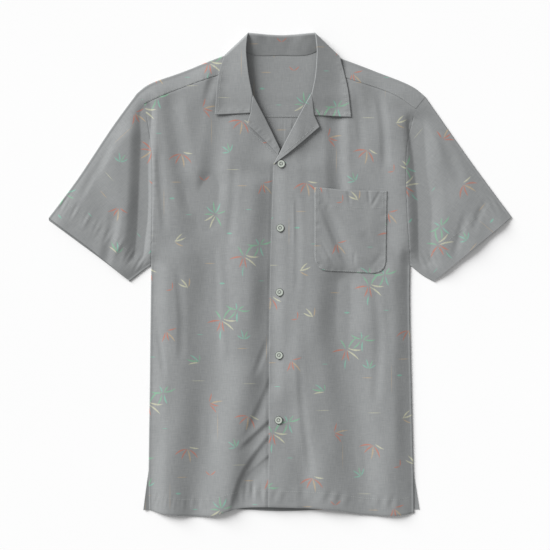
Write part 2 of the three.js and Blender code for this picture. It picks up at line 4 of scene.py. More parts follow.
import bmesh
import bpy
import numpy as np
from mathutils import Matrix, Vector


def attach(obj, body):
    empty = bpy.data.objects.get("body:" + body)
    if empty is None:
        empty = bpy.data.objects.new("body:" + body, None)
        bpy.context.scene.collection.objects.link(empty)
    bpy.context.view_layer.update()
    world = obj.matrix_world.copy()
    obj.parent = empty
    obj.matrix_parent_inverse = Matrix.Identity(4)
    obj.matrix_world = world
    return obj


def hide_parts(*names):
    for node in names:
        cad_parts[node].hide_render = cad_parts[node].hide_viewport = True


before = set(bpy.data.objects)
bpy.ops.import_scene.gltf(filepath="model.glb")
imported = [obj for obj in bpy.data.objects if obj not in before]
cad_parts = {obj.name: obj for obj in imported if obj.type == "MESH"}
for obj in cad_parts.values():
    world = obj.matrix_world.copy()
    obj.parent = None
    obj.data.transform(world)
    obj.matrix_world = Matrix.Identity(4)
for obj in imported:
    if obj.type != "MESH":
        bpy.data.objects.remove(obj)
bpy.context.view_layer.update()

# Back panel: one piece of light plain-woven cloth from the yoke seam to the hem, with a box
# pleat at its centre. It lies flat under the fronts and shows in the open neck, below the
# front hems and at the side vents. Sizes in plan are in millimetres, as on a paper pattern.
MM = 0.001
CLOTH = 1.0  # height that one layer takes up in the stack
GAP = 0.3
LAYER = CLOTH + GAP
SHELL = 0.7  # thickness of one layer of cloth


def ease(value):
    t = np.clip(value, 0, 1)
    return t * t * (3 - 2 * t)


def smooth_line(*points, spacing=2.0):
    """A smooth curve through the points, as points close together. Two points give a straight line."""
    knots = np.array(points, float)
    if len(knots) == 2:
        return knots
    knots = np.vstack([2 * knots[0] - knots[1], knots, 2 * knots[-1] - knots[-2]])
    stretches = []
    for p0, p1, p2, p3 in zip(knots, knots[1:], knots[2:], knots[3:]):
        t0 = 0.0
        t1 = t0 + np.sqrt(np.linalg.norm(p1 - p0))
        t2 = t1 + np.sqrt(np.linalg.norm(p2 - p1))
        t3 = t2 + np.sqrt(np.linalg.norm(p3 - p2))
        steps = int(np.linalg.norm(p2 - p1) / spacing) + 1
        t = np.linspace(t1, t2, steps, endpoint=False)[:, None]
        a1 = ((t1 - t) * p0 + (t - t0) * p1) / (t1 - t0)
        a2 = ((t2 - t) * p1 + (t - t1) * p2) / (t2 - t1)
        a3 = ((t3 - t) * p2 + (t - t2) * p3) / (t3 - t2)
        b1 = ((t2 - t) * a1 + (t - t0) * a2) / (t2 - t0)
        b2 = ((t3 - t) * a2 + (t - t1) * a3) / (t3 - t1)
        stretches.append(((t2 - t) * b1 + (t - t1) * b2) / (t2 - t1))
    return np.vstack([*stretches, knots[-2]])


def joined(first, *others):
    """Lines that follow on from each other, as one line."""
    return np.vstack([first, *[line[1:] for line in others]])


def fractions(line):
    """How far along a line each of its points is, from 0 to 1."""
    lengths = np.hypot(*np.diff(line, axis=0).T)
    along = np.concatenate([[0], np.cumsum(lengths)])
    return along / along[-1]


def points_at(line, parts):
    """The points of a line at the given parts of its length."""
    along = fractions(line)
    return np.stack([np.interp(parts, along, line[:, axis]) for axis in (0, 1)], axis=1)


def closer_at_ends(steps, crowd):
    """Parts from 0 to 1 that lie closer together at both ends."""
    even = np.linspace(0, 1, steps + 1)
    return (1 - crowd) * even + crowd * (1 - np.cos(np.pi * even)) / 2


# Number of steps across and along a piece, each with how much closer they lie at its edges
GRIDS = {
    "sleeve": ((110, 1.0), (96, 0.35)), "front": ((136, 0.55), (268, 0.25)), "lapel": ((40, 0.7), (80, 0.5)),
    "leaf": ((44, 0.7), (84, 0.6)), "pocket": ((76, 0.5), (88, 0.5)),
}


def grid_parts(kind):
    return [closer_at_ends(*steps) for steps in GRIDS[kind]]


def between_edges(bottom, right, top, left):
    """Plan points of a panel, in rows, from the points of its four edges."""
    across = fractions(bottom)[None, :, None]
    up = fractions(left)[:, None, None]
    from_sides = (1 - across) * left[:, None] + across * right[:, None]
    from_ends = (1 - up) * bottom[None] + up * top[None]
    foot = (1 - across) * bottom[0] + across * bottom[-1]
    head = (1 - across) * top[0] + across * top[-1]
    return from_sides + from_ends - (1 - up) * foot - up * head


def panel_plan(columns, rows, bottom, right, top, left):
    """The same from four lines, with the parts of them at which the columns and rows lie."""
    return between_edges(
        points_at(bottom, columns), points_at(right, rows), points_at(top, columns), points_at(left, rows))


def near(line, x, y):
    """Distance to a line, with how far along it the nearest point is and that point's X."""
    distance = np.full(np.shape(x), np.inf)
    along = np.zeros(np.shape(x))
    foot_x = np.zeros(np.shape(x))
    passed = 0.0
    for (x0, y0), (x1, y1) in zip(line, line[1:]):
        span = np.hypot(x1 - x0, y1 - y0)
        part = np.clip(((x - x0) * (x1 - x0) + (y - y0) * (y1 - y0)) / span**2, 0, 1)
        away = np.hypot(x - x0 - part * (x1 - x0), y - y0 - part * (y1 - y0))
        closer = away < distance
        distance = np.where(closer, away, distance)
        along = np.where(closer, passed + part * span, along)
        foot_x = np.where(closer, x0 + part * (x1 - x0), foot_x)
        passed += span
    return distance, along, foot_x


def coarse(line, step=22.0):
    """The same line with few points, to measure distances from."""
    length = np.hypot(*np.diff(line, axis=0).T).sum()
    return points_at(line, np.linspace(0, 1, max(1, round(length / step)) + 1))


def away_from(line, x, y, step=22.0):
    """Distance to a line, measured with few points."""
    return near(coarse(line, step), x, y)[0]


def rounded(distance, radius):
    """From 0 at an edge to 1 a radius away from it, on a quarter circle."""
    away = 1 - np.clip(distance / radius, 0, 1)
    return np.sqrt(np.clip(1 - away * away, 0, 1))


def lay_panel(bm, plan, heights, faces_up=True):
    """Adds a grid of faces at the plan's points and at those heights."""
    rows, columns = plan.shape[0] - 1, plan.shape[1] - 1
    grid = bmesh.ops.create_grid(bm, x_segments=columns, y_segments=rows, size=0.5)["verts"]
    for vert in grid:
        column = round((vert.co.x + 0.5) * columns)
        row = round((vert.co.y + 0.5) * rows)
        vert.co = Vector((*plan[row, column], heights[row, column])) * MM
    faces = list({face for vert in grid for face in vert.link_faces})
    bm.normal_update()
    lift = sum(face.normal.z * face.calc_area() for face in faces)
    if (lift > 0) != faces_up:
        bmesh.ops.reverse_faces(bm, faces=faces)


def plan_area(plan):
    """Area of a panel's plan, in square millimetres."""
    one = plan[1:, 1:] - plan[:-1, :-1]
    other = plan[1:, :-1] - plan[:-1, 1:]
    return np.abs(one[..., 0] * other[..., 1] - one[..., 1] * other[..., 0]).sum() / 2


# Print: sprays of narrow bowed leaves, short dashes and thin stems in faded inks, on a
# half-drop repeat. Each row is a leaf or stroke: the direction it points in degrees, how far
# its foot is from the spray's middle, its length, its width, its bow and its ink.
INKS = {
    "green": "#7ea78d",
    "teal": "#7eab9b",
    "coral": "#ae776a",
    "cream": "#b9b9a2",
    "tan": "#ad9c84",
}
SPRAYS = {
    "palm": [
        (122, 0, 15, 2.5, 1.0, "green"), (52, 1, 21, 2.9, -2.6, "green"), (352, 1, 19, 2.7, 2.2, "cream"),
        (322, 1, 21, 2.6, -1.6, "cream"), (281, 1, 16, 2.4, 1.0, "coral"), (250, 2, 15, 2.5, -1.0, "coral"),
        (190, 1, 19, 2.7, 1.6, "coral"), (265, 13, 14, 2.4, 1.4, "teal"),
    ],
    "crown": [
        (158, 0, 17, 2.6, -2.2, "green"), (96, 1, 10, 2.3, 0.6, "teal"), (38, 1, 11, 2.3, -1.0, "green"),
        (358, 1, 17, 2.7, 2.0, "green"), (268, 1, 14, 2.8, 1.2, "teal"), (226, 1, 16, 2.5, -1.6, "green"),
    ],
    "fern": [
        (100, 1, 17, 2.8, -1.2, "green"), (64, 1, 16, 2.5, 1.2, "teal"), (140, 2, 14, 2.3, -1.4, "teal"),
        (176, 2, 13, 2.2, 1.0, "green"), (212, 1, 16, 2.6, -1.2, "cream"), (246, 1, 19, 2.6, 1.0, "cream"),
        (300, 1, 17, 2.5, -1.2, "green"), (18, 2, 13, 2.2, 1.0, "green"),
    ],
    "willow": [
        (206, 1, 19, 2.6, 2.4, "coral"), (240, 1, 17, 2.5, 1.6, "coral"), (282, 1, 20, 2.7, -1.4, "tan"),
        (316, 2, 18, 2.5, -2.0, "coral"), (350, 1, 14, 2.3, 1.0, "cream"),
    ],
    "tuft": [
        (30, 0, 11, 2.2, 0.8, "teal"), (68, 0, 13, 2.2, -0.6, "green"), (104, 0, 14, 2.2, 0.8, "teal"),
        (148, 0, 11, 2.1, -0.8, "teal"),
    ],
    "pair": [(18, 0, 17, 2.6, 1.6, "cream"), (48, 1, 15, 2.4, -1.2, "cream"), (334, 1, 13, 2.2, 1.0, "tan")],
    "wing": [
        (172, 0, 19, 2.7, -2.0, "green"), (142, 1, 16, 2.4, 1.4, "teal"), (188, 1, 15, 2.2, 1.2, "cream"),
        (96, 1, 9, 2.0, 0.6, "green"),
    ],
    "ember": [
        (282, 0, 14, 2.6, 1.2, "coral"), (312, 1, 18, 2.4, -1.2, "tan"), (250, 1, 15, 2.4, -1.0, "coral"),
        (14, 1, 13, 2.2, 0.8, "coral"),
    ],
    "sprig": [(40, 0, 10, 2.0, 0.6, "coral"), (138, 0, 9, 1.9, -0.6, "coral")],
    "dash": [(0, 0, 15, 1.2, 0, "tan")],
    "short dash": [(0, 0, 9, 1.2, 0, "teal")],
    "long dash": [(0, 0, 20, 0.8, 0, "cream")],
    "stem": [(90, 0, 40, 0.6, 0, "tan")],
    "fleck": [(0, 0, 8, 3.0, 0, "teal")],
}
LEAF_LENGTHS, LEAF_WIDTHS = 1.24, 1.1  # what the lengths and widths above are multiplied by
REPEAT = {"across": (318.0, 0.0), "down": (154.0, 236.0)}
LAYOUT = [
    ("palm", 60, 164, 0), ("crown", 85, 178, 0), ("tuft", 96, 132, 0), ("fern", 214, 96, 0),
    ("palm", 260, 30, 0), ("crown", 285, 46, 20), ("willow", 160, 196, 0), ("wing", 26, 96, 0),
    ("ember", 290, 146, 0), ("pair", 148, 52, 0), ("tuft", 238, 196, 40), ("sprig", 196, 150, 0),
    ("ember", 40, 30, 60), ("pair", 8, 214, 110), ("willow", 104, 12, -20), ("sprig", 300, 212, 50),
    ("dash", 84, 118, 0), ("dash", 196, 18, 0), ("dash", 248, 142, 0), ("short dash", 20, 140, 0),
    ("short dash", 166, 96, 0), ("short dash", 262, 104, 0), ("short dash", 118, 226, 0),
    ("long dash", 230, 168, 0), ("long dash", 92, 62, 0), ("long dash", 10, 66, 0),
    ("dash", 142, 148, 0), ("stem", 132, 92, 0), ("stem", 208, 206, 0), ("fleck", 140, 122, 0),
    ("fleck", 232, 66, 0), ("fleck", 56, 222, 0),
]


def linear(colour):
    """An sRGB hex colour as linear red, green, blue and alpha."""
    parts = [int(colour[i:i + 2], 16) / 255 for i in (1, 3, 5)]
    return (*[p / 12.92 if p <= 0.04045 else ((p + 0.055) / 1.055) ** 2.4 for p in parts], 1.0)


def printed_leaves():
    """One repeat's leaves: middle, direction, half length, half width, bow and ink."""
    leaves = []
    for name, x, y, turn in LAYOUT:
        for angle, foot, length, width, bow, ink in SPRAYS[name]:
            way = np.radians(angle + turn)
            length *= LEAF_LENGTHS
            width *= LEAF_WIDTHS
            middle = foot * LEAF_LENGTHS + length / 2
            leaves.append([
                x + middle * np.cos(way), y + middle * np.sin(way), np.cos(way), np.sin(way),
                length / 2, width / 2, bow, *linear(INKS[ink]),
            ])
    return np.array(leaves)


def print_cloth(mesh, turn, shift):
    """Gives each corner its place on the flat cloth, and its place on the two nearest leaves."""
    corner_points = np.empty(len(mesh.loops), int)
    mesh.loops.foreach_get("vertex_index", corner_points)
    points = np.empty(len(mesh.vertices) * 3)
    mesh.vertices.foreach_get("co", points)
    points = points.reshape(-1, 3)[:, :2] / MM
    way = np.radians(turn)
    turned = np.array([[np.cos(way), -np.sin(way)], [np.sin(way), np.cos(way)]])
    flat = points @ turned.T + shift
    corners = flat[corner_points]
    corner_counts = np.empty(len(mesh.polygons), int)
    mesh.polygons.foreach_get("loop_total", corner_counts)
    owner = np.repeat(np.arange(len(mesh.polygons)), corner_counts)
    middles = np.stack([np.bincount(owner, corners[:, axis]) for axis in (0, 1)], axis=1)
    middles /= corner_counts[:, None]

    repeat = printed_leaves()
    across, down = np.array(REPEAT["across"]), np.array(REPEAT["down"])
    low, high = flat.min(axis=0) - 30, flat.max(axis=0) + 30
    leaves = []
    for row in range(int(low[1] // down[1]) - 1, int(high[1] // down[1]) + 2):
        for column in range(-12, 13):
            moved = repeat.copy()
            moved[:, :2] += row * down + column * across
            inside = (moved[:, :2] > low).all(axis=1) & (moved[:, :2] < high).all(axis=1)
            leaves.append(moved[inside])
    leaves = np.vstack(leaves)

    def place_on(points, leaf):
        offset = points - leaf[..., 0:2]
        along = (offset[..., 0] * leaf[..., 2] + offset[..., 1] * leaf[..., 3]) / leaf[..., 4]
        side = (offset[..., 1] * leaf[..., 2] - offset[..., 0] * leaf[..., 3]) / leaf[..., 5]
        return along, side

    nearest = np.empty((len(middles), 2), int)
    batch = 6000
    for start in range(0, len(middles), batch):
        some = middles[start:start + batch, None, :]
        along, side = place_on(some, leaves[None])
        half_width = leaves[None, :, 5]
        side = side - leaves[None, :, 6] / half_width * along * along
        past_tip = np.maximum(0, np.abs(along) - 1) * leaves[None, :, 4]
        body = half_width * np.clip(1 - along * along, 0, 1)
        miss = np.hypot(np.maximum(0, np.abs(side) * half_width - body), past_tip)
        inner = np.where(miss == 0, np.abs(side) - 1, 0)
        nearest[start:start + batch] = np.argsort(miss + inner, axis=1)[:, :2]
    for rank in (0, 1):
        leaf = leaves[nearest[:, rank]][owner]
        along, side = place_on(corners, leaf)
        place = np.stack([along, side, leaf[:, 6] / leaf[:, 5]], axis=1)
        spot = mesh.attributes.new(f"leaf_{rank + 1}", "FLOAT_VECTOR", "CORNER")
        spot.data.foreach_set("vector", place.astype(np.float32).ravel())
        ink = mesh.attributes.new(f"ink_{rank + 1}", "FLOAT_COLOR", "CORNER")
        ink.data.foreach_set("color", leaf[:, 7:11].astype(np.float32).ravel())
    cut = mesh.uv_layers.new(name="cut")
    cut.data.foreach_set("uv", (corners * MM).astype(np.float32).ravel())


def add_node(material, kind, settings=None, **links):
    """Adds a node, sets its fields or sockets, and links its sockets to other nodes' outputs."""
    node = material.node_tree.nodes.new(kind)
    for name, value in (settings or {}).items():
        if isinstance(name, str) and hasattr(node, name):
            setattr(node, name, value)
        else:
            node.inputs[name].default_value = value
    for name, output in links.items():
        socket = int(name[1:]) if name[1:].isdigit() else name.replace("_", " ")
        material.node_tree.links.new(output, node.inputs[socket])
    return node


def math_node(material, operation, *values):
    """One value worked out from one or two others, each a number or another node's output."""
    node = add_node(material, "ShaderNodeMath", {"operation": operation})
    for socket, value in zip(node.inputs, values):
        if isinstance(value, bpy.types.NodeSocket):
            material.node_tree.links.new(value, socket)
        else:
            socket.default_value = value
    return node.outputs[0]


def noise(material, place, **settings):
    return add_node(material, "ShaderNodeTexNoise", settings, Vector=place).outputs["Fac"]


def ranged(material, value, low, high, lowest=0.0):
    """A value that goes from lowest to 1 while another goes from low to high."""
    return add_node(material, "ShaderNodeMapRange", {
        "From Min": low, "From Max": high, "To Min": lowest, "To Max": 1.0,
    }, Value=value).outputs[0]


def between_tones(material, part, dark, light):
    return add_node(material, "ShaderNodeMix", {"data_type": "RGBA", 6: dark, 7: light}, i0=part).outputs[2]


def new_material(name, roughness):
    material = bpy.data.materials.new(name)
    material.use_nodes = True
    surface = material.node_tree.nodes["Principled BSDF"]
    surface.inputs["Roughness"].default_value = roughness
    return material, surface


# Plain-woven viscose, piece dyed grey and printed. The yarns vary in thickness, so slubs run
# along and across it. A real yarn is 0.3 mm apart and too fine to show, so the drawn ones are
# 0.95 mm apart. The cloth is matt with a faint nap.
CLOTH_DARK, CLOTH_LIGHT = "#7e8081", "#959797"
YARN = 0.95 * MM
SLUB = 16 * MM
WEAVE_RANGE = (0.72, 1.28)  # of the sum of both yarns' thickness
FADED = 0.3  # share of the slow fade in the cloth's tone
INK_WEAR = (0.2, 0.6, 0.5)  # the ink is thinner on thin yarns
INK_EDGE = (-0.06, 0.3)  # softness of a leaf's edge


def woven_cloth():
    material, surface = new_material("viscose, plain woven and printed", 0.86)
    links = material.node_tree.links
    cut = add_node(material, "ShaderNodeUVMap", {"uv_map": "cut"}).outputs["UV"]
    yarns = []
    for along_x, along_y in ((1 / YARN, 1 / SLUB), (1 / SLUB, 1 / YARN)):
        spread = add_node(material, "ShaderNodeMapping", {"Scale": (along_x, along_y, 1)}, Vector=cut)
        yarns.append(noise(material, spread.outputs["Vector"], Scale=1.0, Detail=3.0, Roughness=0.7))
    fade = noise(material, cut, Scale=14.0, Detail=2.0)
    weave = ranged(material, math_node(material, "ADD", *yarns), *WEAVE_RANGE)
    tone = add_node(material, "ShaderNodeMix", {"data_type": "FLOAT", "Factor": FADED}, i2=weave, i3=fade)
    colour = between_tones(material, tone.outputs[0], linear(CLOTH_DARK), linear(CLOTH_LIGHT))
    worn = ranged(material, weave, *INK_WEAR)
    for rank in (2, 1):
        place = add_node(material, "ShaderNodeAttribute", {"attribute_name": f"leaf_{rank}"})
        ink = add_node(material, "ShaderNodeAttribute", {"attribute_name": f"ink_{rank}"})
        along, side, bend_of_leaf = add_node(
            material, "ShaderNodeSeparateXYZ", Vector=place.outputs["Vector"]).outputs
        square = math_node(material, "MULTIPLY", along, along)
        body = math_node(material, "SUBTRACT", 1.0, square)
        bow = math_node(material, "MULTIPLY", square, bend_of_leaf)
        side = math_node(material, "ABSOLUTE", math_node(material, "SUBTRACT", side, bow))
        mask = ranged(material, math_node(material, "SUBTRACT", body, side), *INK_EDGE)
        shown = math_node(material, "MULTIPLY", mask, worn)
        colour = add_node(material, "ShaderNodeMix", {"data_type": "RGBA"},
                          i0=shown, i6=colour, i7=ink.outputs["Color"]).outputs[2]
    links.new(colour, surface.inputs["Base Color"])
    bump = add_node(material, "ShaderNodeBump", {"Strength": 0.35, "Distance": 0.2 * MM}, Height=weave)
    links.new(bump.outputs["Normal"], surface.inputs["Normal"])
    surface.inputs["Specular IOR Level"].default_value = 0.25
    surface.inputs["Sheen Weight"].default_value = 0.12
    surface.inputs["Sheen Roughness"].default_value = 0.5
    return material


cloth_finish = woven_cloth()


def as_mesh(name, bm):
    mesh = bpy.data.meshes.new(name)
    bm.to_mesh(mesh)
    bm.free()
    return mesh


def placed(name, data):
    """Puts a mesh, a light or a camera into the scene."""
    piece = bpy.data.objects.new(name, data)
    bpy.context.scene.collection.objects.link(piece)
    return piece


def cloth_piece(name, bm, turn, shift, thickness=SHELL):
    """Makes a cloth object from its outer face, prints it and gives it its thickness inwards."""
    bmesh.ops.remove_doubles(bm, verts=bm.verts, dist=0.01 * MM)
    for face in bm.faces:
        face.smooth = True
    for edge in bm.edges:
        edge.smooth = not edge.is_boundary
    mesh = as_mesh(name, bm)
    print_cloth(mesh, turn, np.array(shift, float))
    mesh.materials.append(cloth_finish)
    piece = placed(name, mesh)
    wall = piece.modifiers.new("one layer of cloth", "SOLIDIFY")
    wall.thickness = thickness * MM
    wall.offset = -1
    return piece


def single_panel(name, plan, height, turn, shift, thickness=SHELL):
    """One panel whose outer face is at that height, with its area."""
    bm = bmesh.new()
    lay_panel(bm, plan, height(plan[..., 0], plan[..., 1]))
    return cloth_piece(name, bm, turn, shift, thickness), plan_area(plan)


def sewn_on(piece, node):
    """Hangs the piece under the root and hides the solid of that node, which it stands in for."""
    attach(piece, "root")
    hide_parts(node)


back_hem = smooth_line((-219.2, -377.2), (-61.8, -376.4), (1.3, -379), (83.7, -376), (222.7, -376.1))
side_right = smooth_line((-211, -314.2), (-209.4, -200.6), (-207.4, -34.2), (-206.7, 14.6))
side_left = smooth_line((208.5, 14.6), (207.7, -34.2), (210.6, -184.6), (213.9, -318))
armhole_right = smooth_line((-206.7, 14.6), (-204.6, 135.4), (-205.9, 199.4), (-213.4, 252.2))
armhole_left = smooth_line((213.1, 252.2), (202.9, 205.8), (201.9, 122.6), (208.5, 14.6))
back_seam = smooth_line((-213.4, 252.2), (213.1, 252.2))
back_seam_allowance = smooth_line((-213, 259), (212.7, 259))
# Plan and rise of the pleat, the cloth pushed up beside it, and the rest of the back's relief
PLEAT = {"left": 6.9, "right": 18.6, "top": 251.6, "length": 150, "rise": 0.4, "fold": 2.2}
BESIDE_PLEAT = {"rise": 0.15, "from": 6, "reach": 7}
BACK_TOP, BACK_SLACK, BACK_GATHER = 0.95, 0.12, 0.1
VENT_FLAP = {"rise": 1.7, "x": -209.5, "y": -312}  # the back's corner beside the right front


def back_height(x, y):
    """Top of the back panel."""
    before, past = x - PLEAT["left"], PLEAT["right"] - x
    strip = ease(before / PLEAT["fold"] + 0.5) * ease(past / PLEAT["fold"] + 0.5)
    beside = sum(
        np.exp(-((side + BESIDE_PLEAT["from"]) / BESIDE_PLEAT["reach"]) ** 2) for side in (before, past))
    fade = ease((y - PLEAT["top"] + PLEAT["length"]) / PLEAT["length"])
    slack = BACK_SLACK * np.sin(x / 13 + 0.7 * np.sin(y / 60)) * np.sin(y / 41 + x / 90)
    below_seam = ease((251 - y) / 9)
    gather = BACK_GATHER * below_seam * np.sin(x / 2.6 + np.sin(x / 9)) * ease((y - 226) / 20)
    flap = VENT_FLAP["rise"] * ease((VENT_FLAP["x"] - x) / 8.5) * ease((VENT_FLAP["y"] - y) / 14)
    pleat = below_seam * fade * (PLEAT["rise"] * strip + BESIDE_PLEAT["rise"] * beside)
    return BACK_TOP + pleat + slack + gather + flap


def panel_parts(*stretches):
    """Parts from 0 to 1, each stretch with its own number of steps: (start, end, steps)."""
    parts = [np.linspace(start, end, steps, endpoint=False) for start, end, steps in stretches]
    return np.concatenate([*parts, [1.0]])


def back_panel():
    parts = panel_parts((0, 0.48, 46), (0.48, 0.57, 44), (0.57, 1, 42))
    top = back_seam_allowance
    left = np.vstack([back_hem[0], side_right, armhole_right[1:-1], top[0]])
    right = np.vstack([back_hem[-1], side_left[::-1], armhole_left[-2:0:-1], top[-1]])
    plan = panel_plan(parts, np.linspace(0, 1, 150), back_hem, right, top, left)
    return single_panel("back_cloth", plan, back_height, 0, (40, 22))


back, area = back_panel()
sewn_on(back, "back")

# Outline in which the upper layers are rolled down to the lower ones: shoulders and sleeve
# folds, sides and vents, and underarms. The sleeves are short set-in sleeves, each cut in
# one piece, sewn under the arm and pressed flat along its outer fold.
LOFT = 3.6  # air between the layers, away from the edges
ROLL = 26  # width of the strip over which the upper layer comes down to an edge
PRESSED = 4  # width of the strip along an edge that lies flat
PAST_EDGE = 60  # how far an edge is carried past its end, to roll the cloth there too
FADE = 34  # length over which a crease begins and ends
NECK_RISE, NECK_REACH = 3, 45  # how much higher the cloth stands at the neck, and how far around
FALL_ROOM = 1.5  # room for the fall of the collar under the yoke
HEM_SLEEVE = 36
TUBE_ROUNDING = 2.2  # radius of a sleeve's pressed folds

shoulder_right = smooth_line((-57, 357.5), (-86.7, 351.4), (-155.5, 325), (-211.7, 304.2), (-229.5, 290.8))
shoulder_left = smooth_line((232.5, 285.2), (213, 300.6), (154.1, 325), (89.3, 348.8), (61, 357.5))
sleeve_fold_right = smooth_line((-229.5, 290.8), (-268, 238.2), (-326.9, 150), (-370.9, 91.1))
sleeve_fold_left = smooth_line((370.9, 92.4), (308.5, 177), (244.8, 267.6), (232.5, 285.2))
cuff_right = smooth_line((-370.9, 91.1), (-292.6, 32.4), (-241.1, -11))
cuff_left = smooth_line((246, -11), (325.6, 54.5), (370.9, 92.4))
underarm_right = smooth_line((-241.1, -11), (-216.6, 7.9), (-206.7, 14.6))
underarm_left = smooth_line((208.5, 14.6), (227.5, -0.6), (246, -11))
yoke_end_right = smooth_line((-213.4, 252.2), (-217.9, 273.8))
yoke_end_left = smooth_line((216.6, 265.5), (213.1, 252.2))
shoulder_end_right = smooth_line((-217.9, 273.8), (-229.5, 290.8))
shoulder_end_left = smooth_line((232.5, 285.2), (216.6, 265.5))
vent_right = smooth_line((-209.9, -376.6), (-211, -314.2))
vent_left = smooth_line((213.9, -318), (214.4, -381.7))
roll_right = smooth_line((-0.3, 201.4), (-20.2, 242.6), (-44, 288.2))
roll_left = smooth_line((50.6, 291.1), (31.2, 256.2), (1.1, 199), (-10.6, 176.2))
front_neck_right = smooth_line((-44, 288.2), (-49.3, 314.6), (-51.9, 334))
front_neck_left = smooth_line((57.3, 332), (55.4, 314.3), (50.6, 291.1))
yoke_neck_right = smooth_line((-51.9, 334), (-53.8, 359.4), (-51, 387))
yoke_neck_left = smooth_line((55.4, 387.1), (58.4, 359.4), (57.3, 332))
collar_fold_right = joined(front_neck_right, yoke_neck_right)
collar_fold_left = joined(yoke_neck_left, front_neck_left)


def carried_on(line, length=PAST_EDGE):
    """A line with its last stretch carried straight on."""
    way = line[-1] - line[-2]
    return np.vstack([line, line[-1] + way / np.linalg.norm(way) * length])


rolled_edges = [
    coarse(carried_on(joined(sleeve_fold_left, shoulder_left)[::-1])),
    coarse(carried_on(joined(shoulder_right, sleeve_fold_right))),
    coarse(carried_on(joined(vent_right, side_right)[::-1])),
    coarse(carried_on(joined(side_left, vent_left))),
    coarse(carried_on(underarm_right[::-1])),
    coarse(carried_on(underarm_left)),
]
shoulder_crest = joined(shoulder_right[::-1], shoulder_left[::-1])
neck_edges = [
    coarse(joined(roll_right, collar_fold_right)),
    coarse(joined(collar_fold_left, roll_left)),
]

# Creases of the upper layer: rise of the middle, a trough being below 0, reach to the left
# and to the right, and the points that it runs through
CREASES = [
    (-2.4, 22, 24, (-176, 300), (-166, 231), (-158, 175), (-140, 90)),
    (-2.4, 26, 26, (-88, 300), (-100, 220), (-112, 130), (-116, 60)),
    (2.4, 40, 50, (-168, 60), (-168, -137), (-178, -420)),
    (-3.4, 54, 52, (-118, 170), (-113, -9), (-111, -137), (-117, -265), (-126, -420)),
    (3.3, 52, 40, (-46, 170), (-53, -9), (-62, -137), (-76, -265), (-98, -420)),
    (-3.0, 38, 24, (-14, 190), (-13, 60), (-17, -210)),
    (-2.1, 34, 60, (-10, -180), (-24, -265), (-50, -329), (-86, -420)),
    (3.0, 44, 46, (44, 200), (50, 60), (50, -137), (62, -265), (86, -420)),
    (-3.8, 24, 20, (86, 290), (92, 231), (92, 183), (98, 106)),
    (-3.8, 44, 40, (98, 20), (102, -73), (106, -137), (124, -265), (156, -420)),
    (1.8, 50, 30, (184, 30), (180, -137), (168, -420)),
    (2.2, 30, 27, (186, 270), (190, 199), (195, 100), (199, 20)),
    (-4.8, 24, 38, (215, 270), (221, 199), (227, 120), (231, -10)),
    (-5.0, 27, 19, (-212, 290), (-217, 199), (-220, 90), (-229, 0)),
    (2.5, 58, 26, (-238, 250), (-243, 199), (-246, 100), (-254, 20)),
    (-1.8, 15, 13, (-260, 120), (-268, 71), (-285, -5)),
    (-1.4, 16, 16, (240, 270), (296, 130)),
    (-1.3, 10, 12, (-96, 343), (-110, 308), (-122, 262)),
    (-0.7, 9, 13, (118, 310), (126, 250), (131, 190)),
    (-1.2, 10, 12, (156, 300), (166, 231), (168, 160)),
    (-1.0, 8, 7, (-14, -92), (-28, -128), (-44, -170)),
    (-1.1, 10, 9, (-292, 180), (-308, 146), (-326, 112)),
    (-1.4, 7, 8, (-206, 282), (-214, 240), (-217, 196)),
    (-1.4, 7, 8, (205, 262), (209, 225), (212, 190)),
    (-1.0, 9, 12, (-196, 210), (-190, 130), (-184, 60)),
    (-0.9, 9, 12, (-166, 20), (-158, -60), (-160, -150)),
    (-0.9, 12, 12, (150, -10), (158, -110), (150, -220)),
    (1.8, 90, 90, (-30, -130), (-44, -260), (-60, -430)),
    (0.8, 10, 12, (-98, 60), (-92, -60), (-90, -150)),
    (-0.8, 10, 12, (-72, 190), (-76, 110), (-84, 40)),
    (-0.8, 8, 10, (24, 140), (28, 60), (26, -40)),
    (-0.8, 9, 10, (30, -120), (36, -220), (52, -330)),
    (-0.9, 9, 10, (300, 110), (286, 60), (276, 20)),
    (-0.9, 9, 9, (334, 128), (318, 96), (306, 60)),
    (-1.0, 9, 11, (-262, 232), (-282, 190), (-302, 150)),
    (-0.8, 6, 8, (-203, -60), (-192, -120), (-184, -176)),
    (-0.7, 14, 12, (-236, 120), (-242, 70), (-246, 20)),
    (0.9, 12, 12, (190, 60), (196, 10), (200, -40)),
]
# Drags of the right front towards the lowest button, which the left front lies over
DRAGS = [
    (-1.3, 8, 16, (-6, -150), (-22, -190), (-40, -228), (-60, -268)),
    (-2.1, 7, 24, (12, -212), (-16, -238), (-40, -260), (-70, -288)),
    (-2.7, 9, 44, (12, -238), (-16, -264), (-35, -288), (-53, -314), (-66, -344), (-78, -390)),
    (-1.8, 6, 34, (12, -270), (-16, -293), (-34, -309), (-62, -332)),
    (-1.5, 4, 6, (-43, -316), (-45, -344), (-45, -372)),
    (-1.4, 4, 5, (-53, -318), (-56, -346), (-56, -374)),
    (-1.2, 4, 6, (-30, -326), (-31, -350), (-30, -374)),
]


def crease_lines(rows, spacing):
    return [coarse(smooth_line(*row[3:]), spacing) for row in rows]


body_lines = crease_lines(CREASES, 40)
drag_lines = crease_lines(DRAGS, 20)


